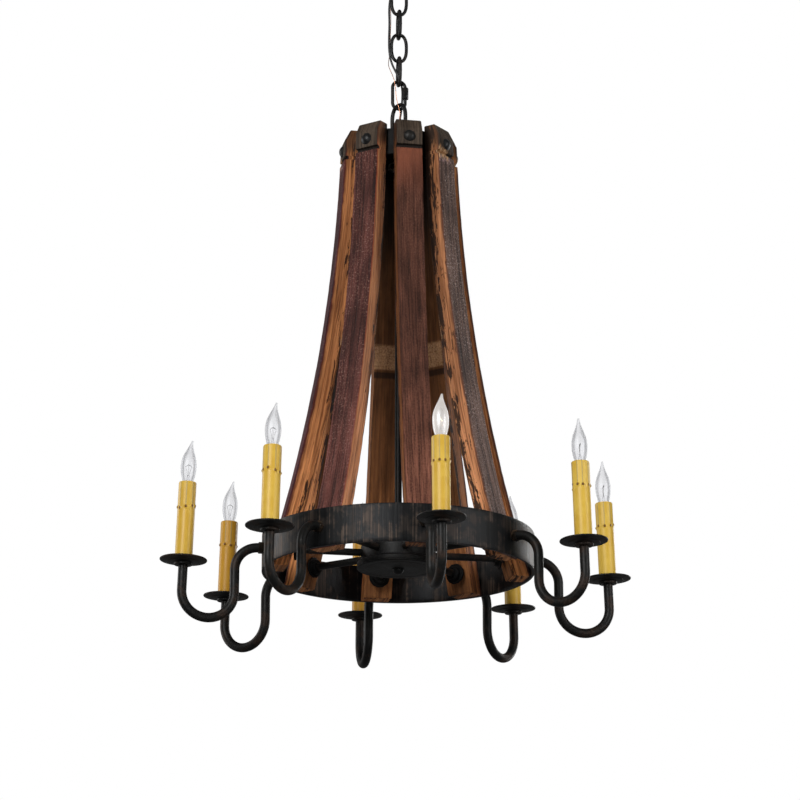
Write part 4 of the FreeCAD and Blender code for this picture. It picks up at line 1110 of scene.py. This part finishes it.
def bulb_mount():
    """Inside the glass: a pressed stem, two leads and a short coiled filament between them."""
    stem = lathe([(0, 0.1), (4.6, 0.1), (3.6, 5), (1.6, 13), (1.4, 16), (0.0, 16.4)], 24)
    leads = []
    for side in (-1, 1):
        t = np.linspace(0, 1, 14)
        path = np.stack([side * (0.9 + 3.4 * t**1.5), 0.25 * np.sin(t * 5), 13 + 15 * t], -1)
        leads.append(tube(path, 0.22, (0, 1, 0), 8))
    brace = tube(np.stack([np.zeros(8), np.linspace(0, 1.6, 8), np.linspace(15.5, 31, 8)], -1),
                 0.16, (1, 0, 0), 8)
    t = np.linspace(0, 1, 160)
    coil = np.stack([-4.3 + 8.6 * t, 1.5 * np.sin(np.pi * t) + 0.42 * np.cos(t * 2 * np.pi * 26),
                     28 + 3.4 * np.sin(np.pi * t) + 0.42 * np.sin(t * 2 * np.pi * 26)], -1)
    return stem, joined([*leads, brace]), tube(coil, 0.13, (0.1, 0.2, 1.0), 6)


def screw_base():
    """The lamp's threaded shell, 20 down from the glass: a round profile with a wavy wall, and a
    contact tip."""
    z = np.linspace(3, 18.5, 63)
    wall = np.stack([5.65 + 0.28 * np.sin(z * 2 * np.pi / 2.6), z], -1)
    profile = np.vstack([[(0, 0), (2.2, 0), (2.6, 0.8), (4.9, 3)], wall,
                         [(5.9, 19), (5.9, 19.9), (0, 19.9)]])
    return lathe(profile, 40).moved(shift(z=-20))


def make_bulbs():
    """Eight lamps; the one at the front is lit."""
    glass, (stem, leads, coil), base = flame_bulb(), bulb_mount(), screw_base()
    neck = RISER + SLEEVE_FOOT + SLEEVE - 5 + 0.1
    for number in range(1, PLACES + 1):
        matrix = candle_place(number, neck) @ turn("z", LAMP_TURN[number - 1])
        lit = number == 1
        for name, shell, material in (
            ("glass", glass, LIT_GLASS if lit else GLASS), ("stem", stem, GLASS),
            ("leads", leads, LEAD), ("filament", coil, LIT_FILAMENT if lit else FILAMENT),
            ("base", base, BRASS),
        ):
            piece(f"lamp_{number}_{name}", shell.moved(matrix), material, f"bulb_{number}",
                  (f"bulb_{number}",), 60)


# ------------------------------------------------------------------ the studio
def make_studio():
    """A pale floor far below, surroundings that the camera sees as white and that light the
    fixture softly, and large soft lights. Lengths are in metres."""
    mesh = bpy.data.meshes.new("floor")
    reach, level = 60, -7.6
    mesh.from_pydata([(-reach, -reach, level), (reach, -reach, level), (reach, reach, level),
                      (-reach, reach, level)], [], [(0, 1, 2, 3)])
    floor = bpy.data.objects.new("floor", mesh)
    bpy.context.collection.objects.link(floor)
    mesh.materials.append(plain("pale_floor", (0.84, 0.84, 0.84), 0.7, glow=0.95, mottle=0.02))
    floor.visible_diffuse = floor.visible_glossy = False  # its glow stays off the fixture

    world = bpy.data.worlds.new("studio")
    bpy.context.scene.world = world
    world.use_nodes = True
    tree = world.node_tree
    path = tree.nodes.new("ShaderNodeLightPath")
    seen = tree.nodes.new("ShaderNodeMath")
    seen.operation = "MAXIMUM"
    tree.links.new(path.outputs["Is Camera Ray"], seen.inputs[0])
    tree.links.new(path.outputs["Is Transmission Ray"], seen.inputs[1])
    strength = tree.nodes.new("ShaderNodeMapRange")
    strength.inputs["To Min"].default_value = 0.13
    strength.inputs["To Max"].default_value = 1.0
    tree.links.new(seen.outputs[0], strength.inputs["Value"])
    tree.links.new(strength.outputs[0], tree.nodes["Background"].inputs["Strength"])
    tree.nodes["Background"].inputs["Color"].default_value = (1, 1, 1, 1)

    target = (0, 0, -0.7)
    softbox("key", (-2.3, -3.1, 0.5), target, (1.5, 1.9), 125)
    softbox("fill", (2.7, -2.6, -0.3), target, (0.9, 1.9), 60)
    softbox("low_front", (0.4, -3.4, -2.4), target, (2.0, 0.8), 6)
    softbox("rim_left", (-2.3, 1.8, -0.3), target, (0.7, 2.0), 28)
    softbox("rim_right", (2.3, 2.0, -0.3), target, (0.7, 2.0), 28)
    bpy.context.scene.view_settings.view_transform = "Standard"


def paint_frame_parts():
    """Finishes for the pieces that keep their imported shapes."""
    finishes = {
        "crossbar": STEEL, "canopy_nipple": STEEL, "canopy_nuts": STEEL, "crown_plate": HUB_IRON,
        "crown_nuts": STEEL, "centre_pipe": BLACK_IRON, "pipe_nuts": BLACK_IRON, "spokes": ARM_IRON,
        "socket_stems": STEEL, "sockets": SOCKET,
    }
    for name, material in finishes.items():
        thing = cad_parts[name]
        thing.data.materials.clear()
        thing.data.materials.append(material)


set_camera()
make_cord("supply_cord", SUPPLY_CORD_ROUTE, SUPPLY_CORD_DIAMETER, SHEATH)
make_cord("ground_wire", GROUND_WIRE_ROUTE, GROUND_WIRE_DIAMETER, COPPER)
make_ceiling()
make_chain()
make_quick_link()
make_fixture_loop()
make_staves()
make_crown()
make_hub()
make_ring()
make_pipe_fittings()
make_arms()
make_pans()
make_candles()
make_bulbs()
paint_frame_parts()
make_studio()
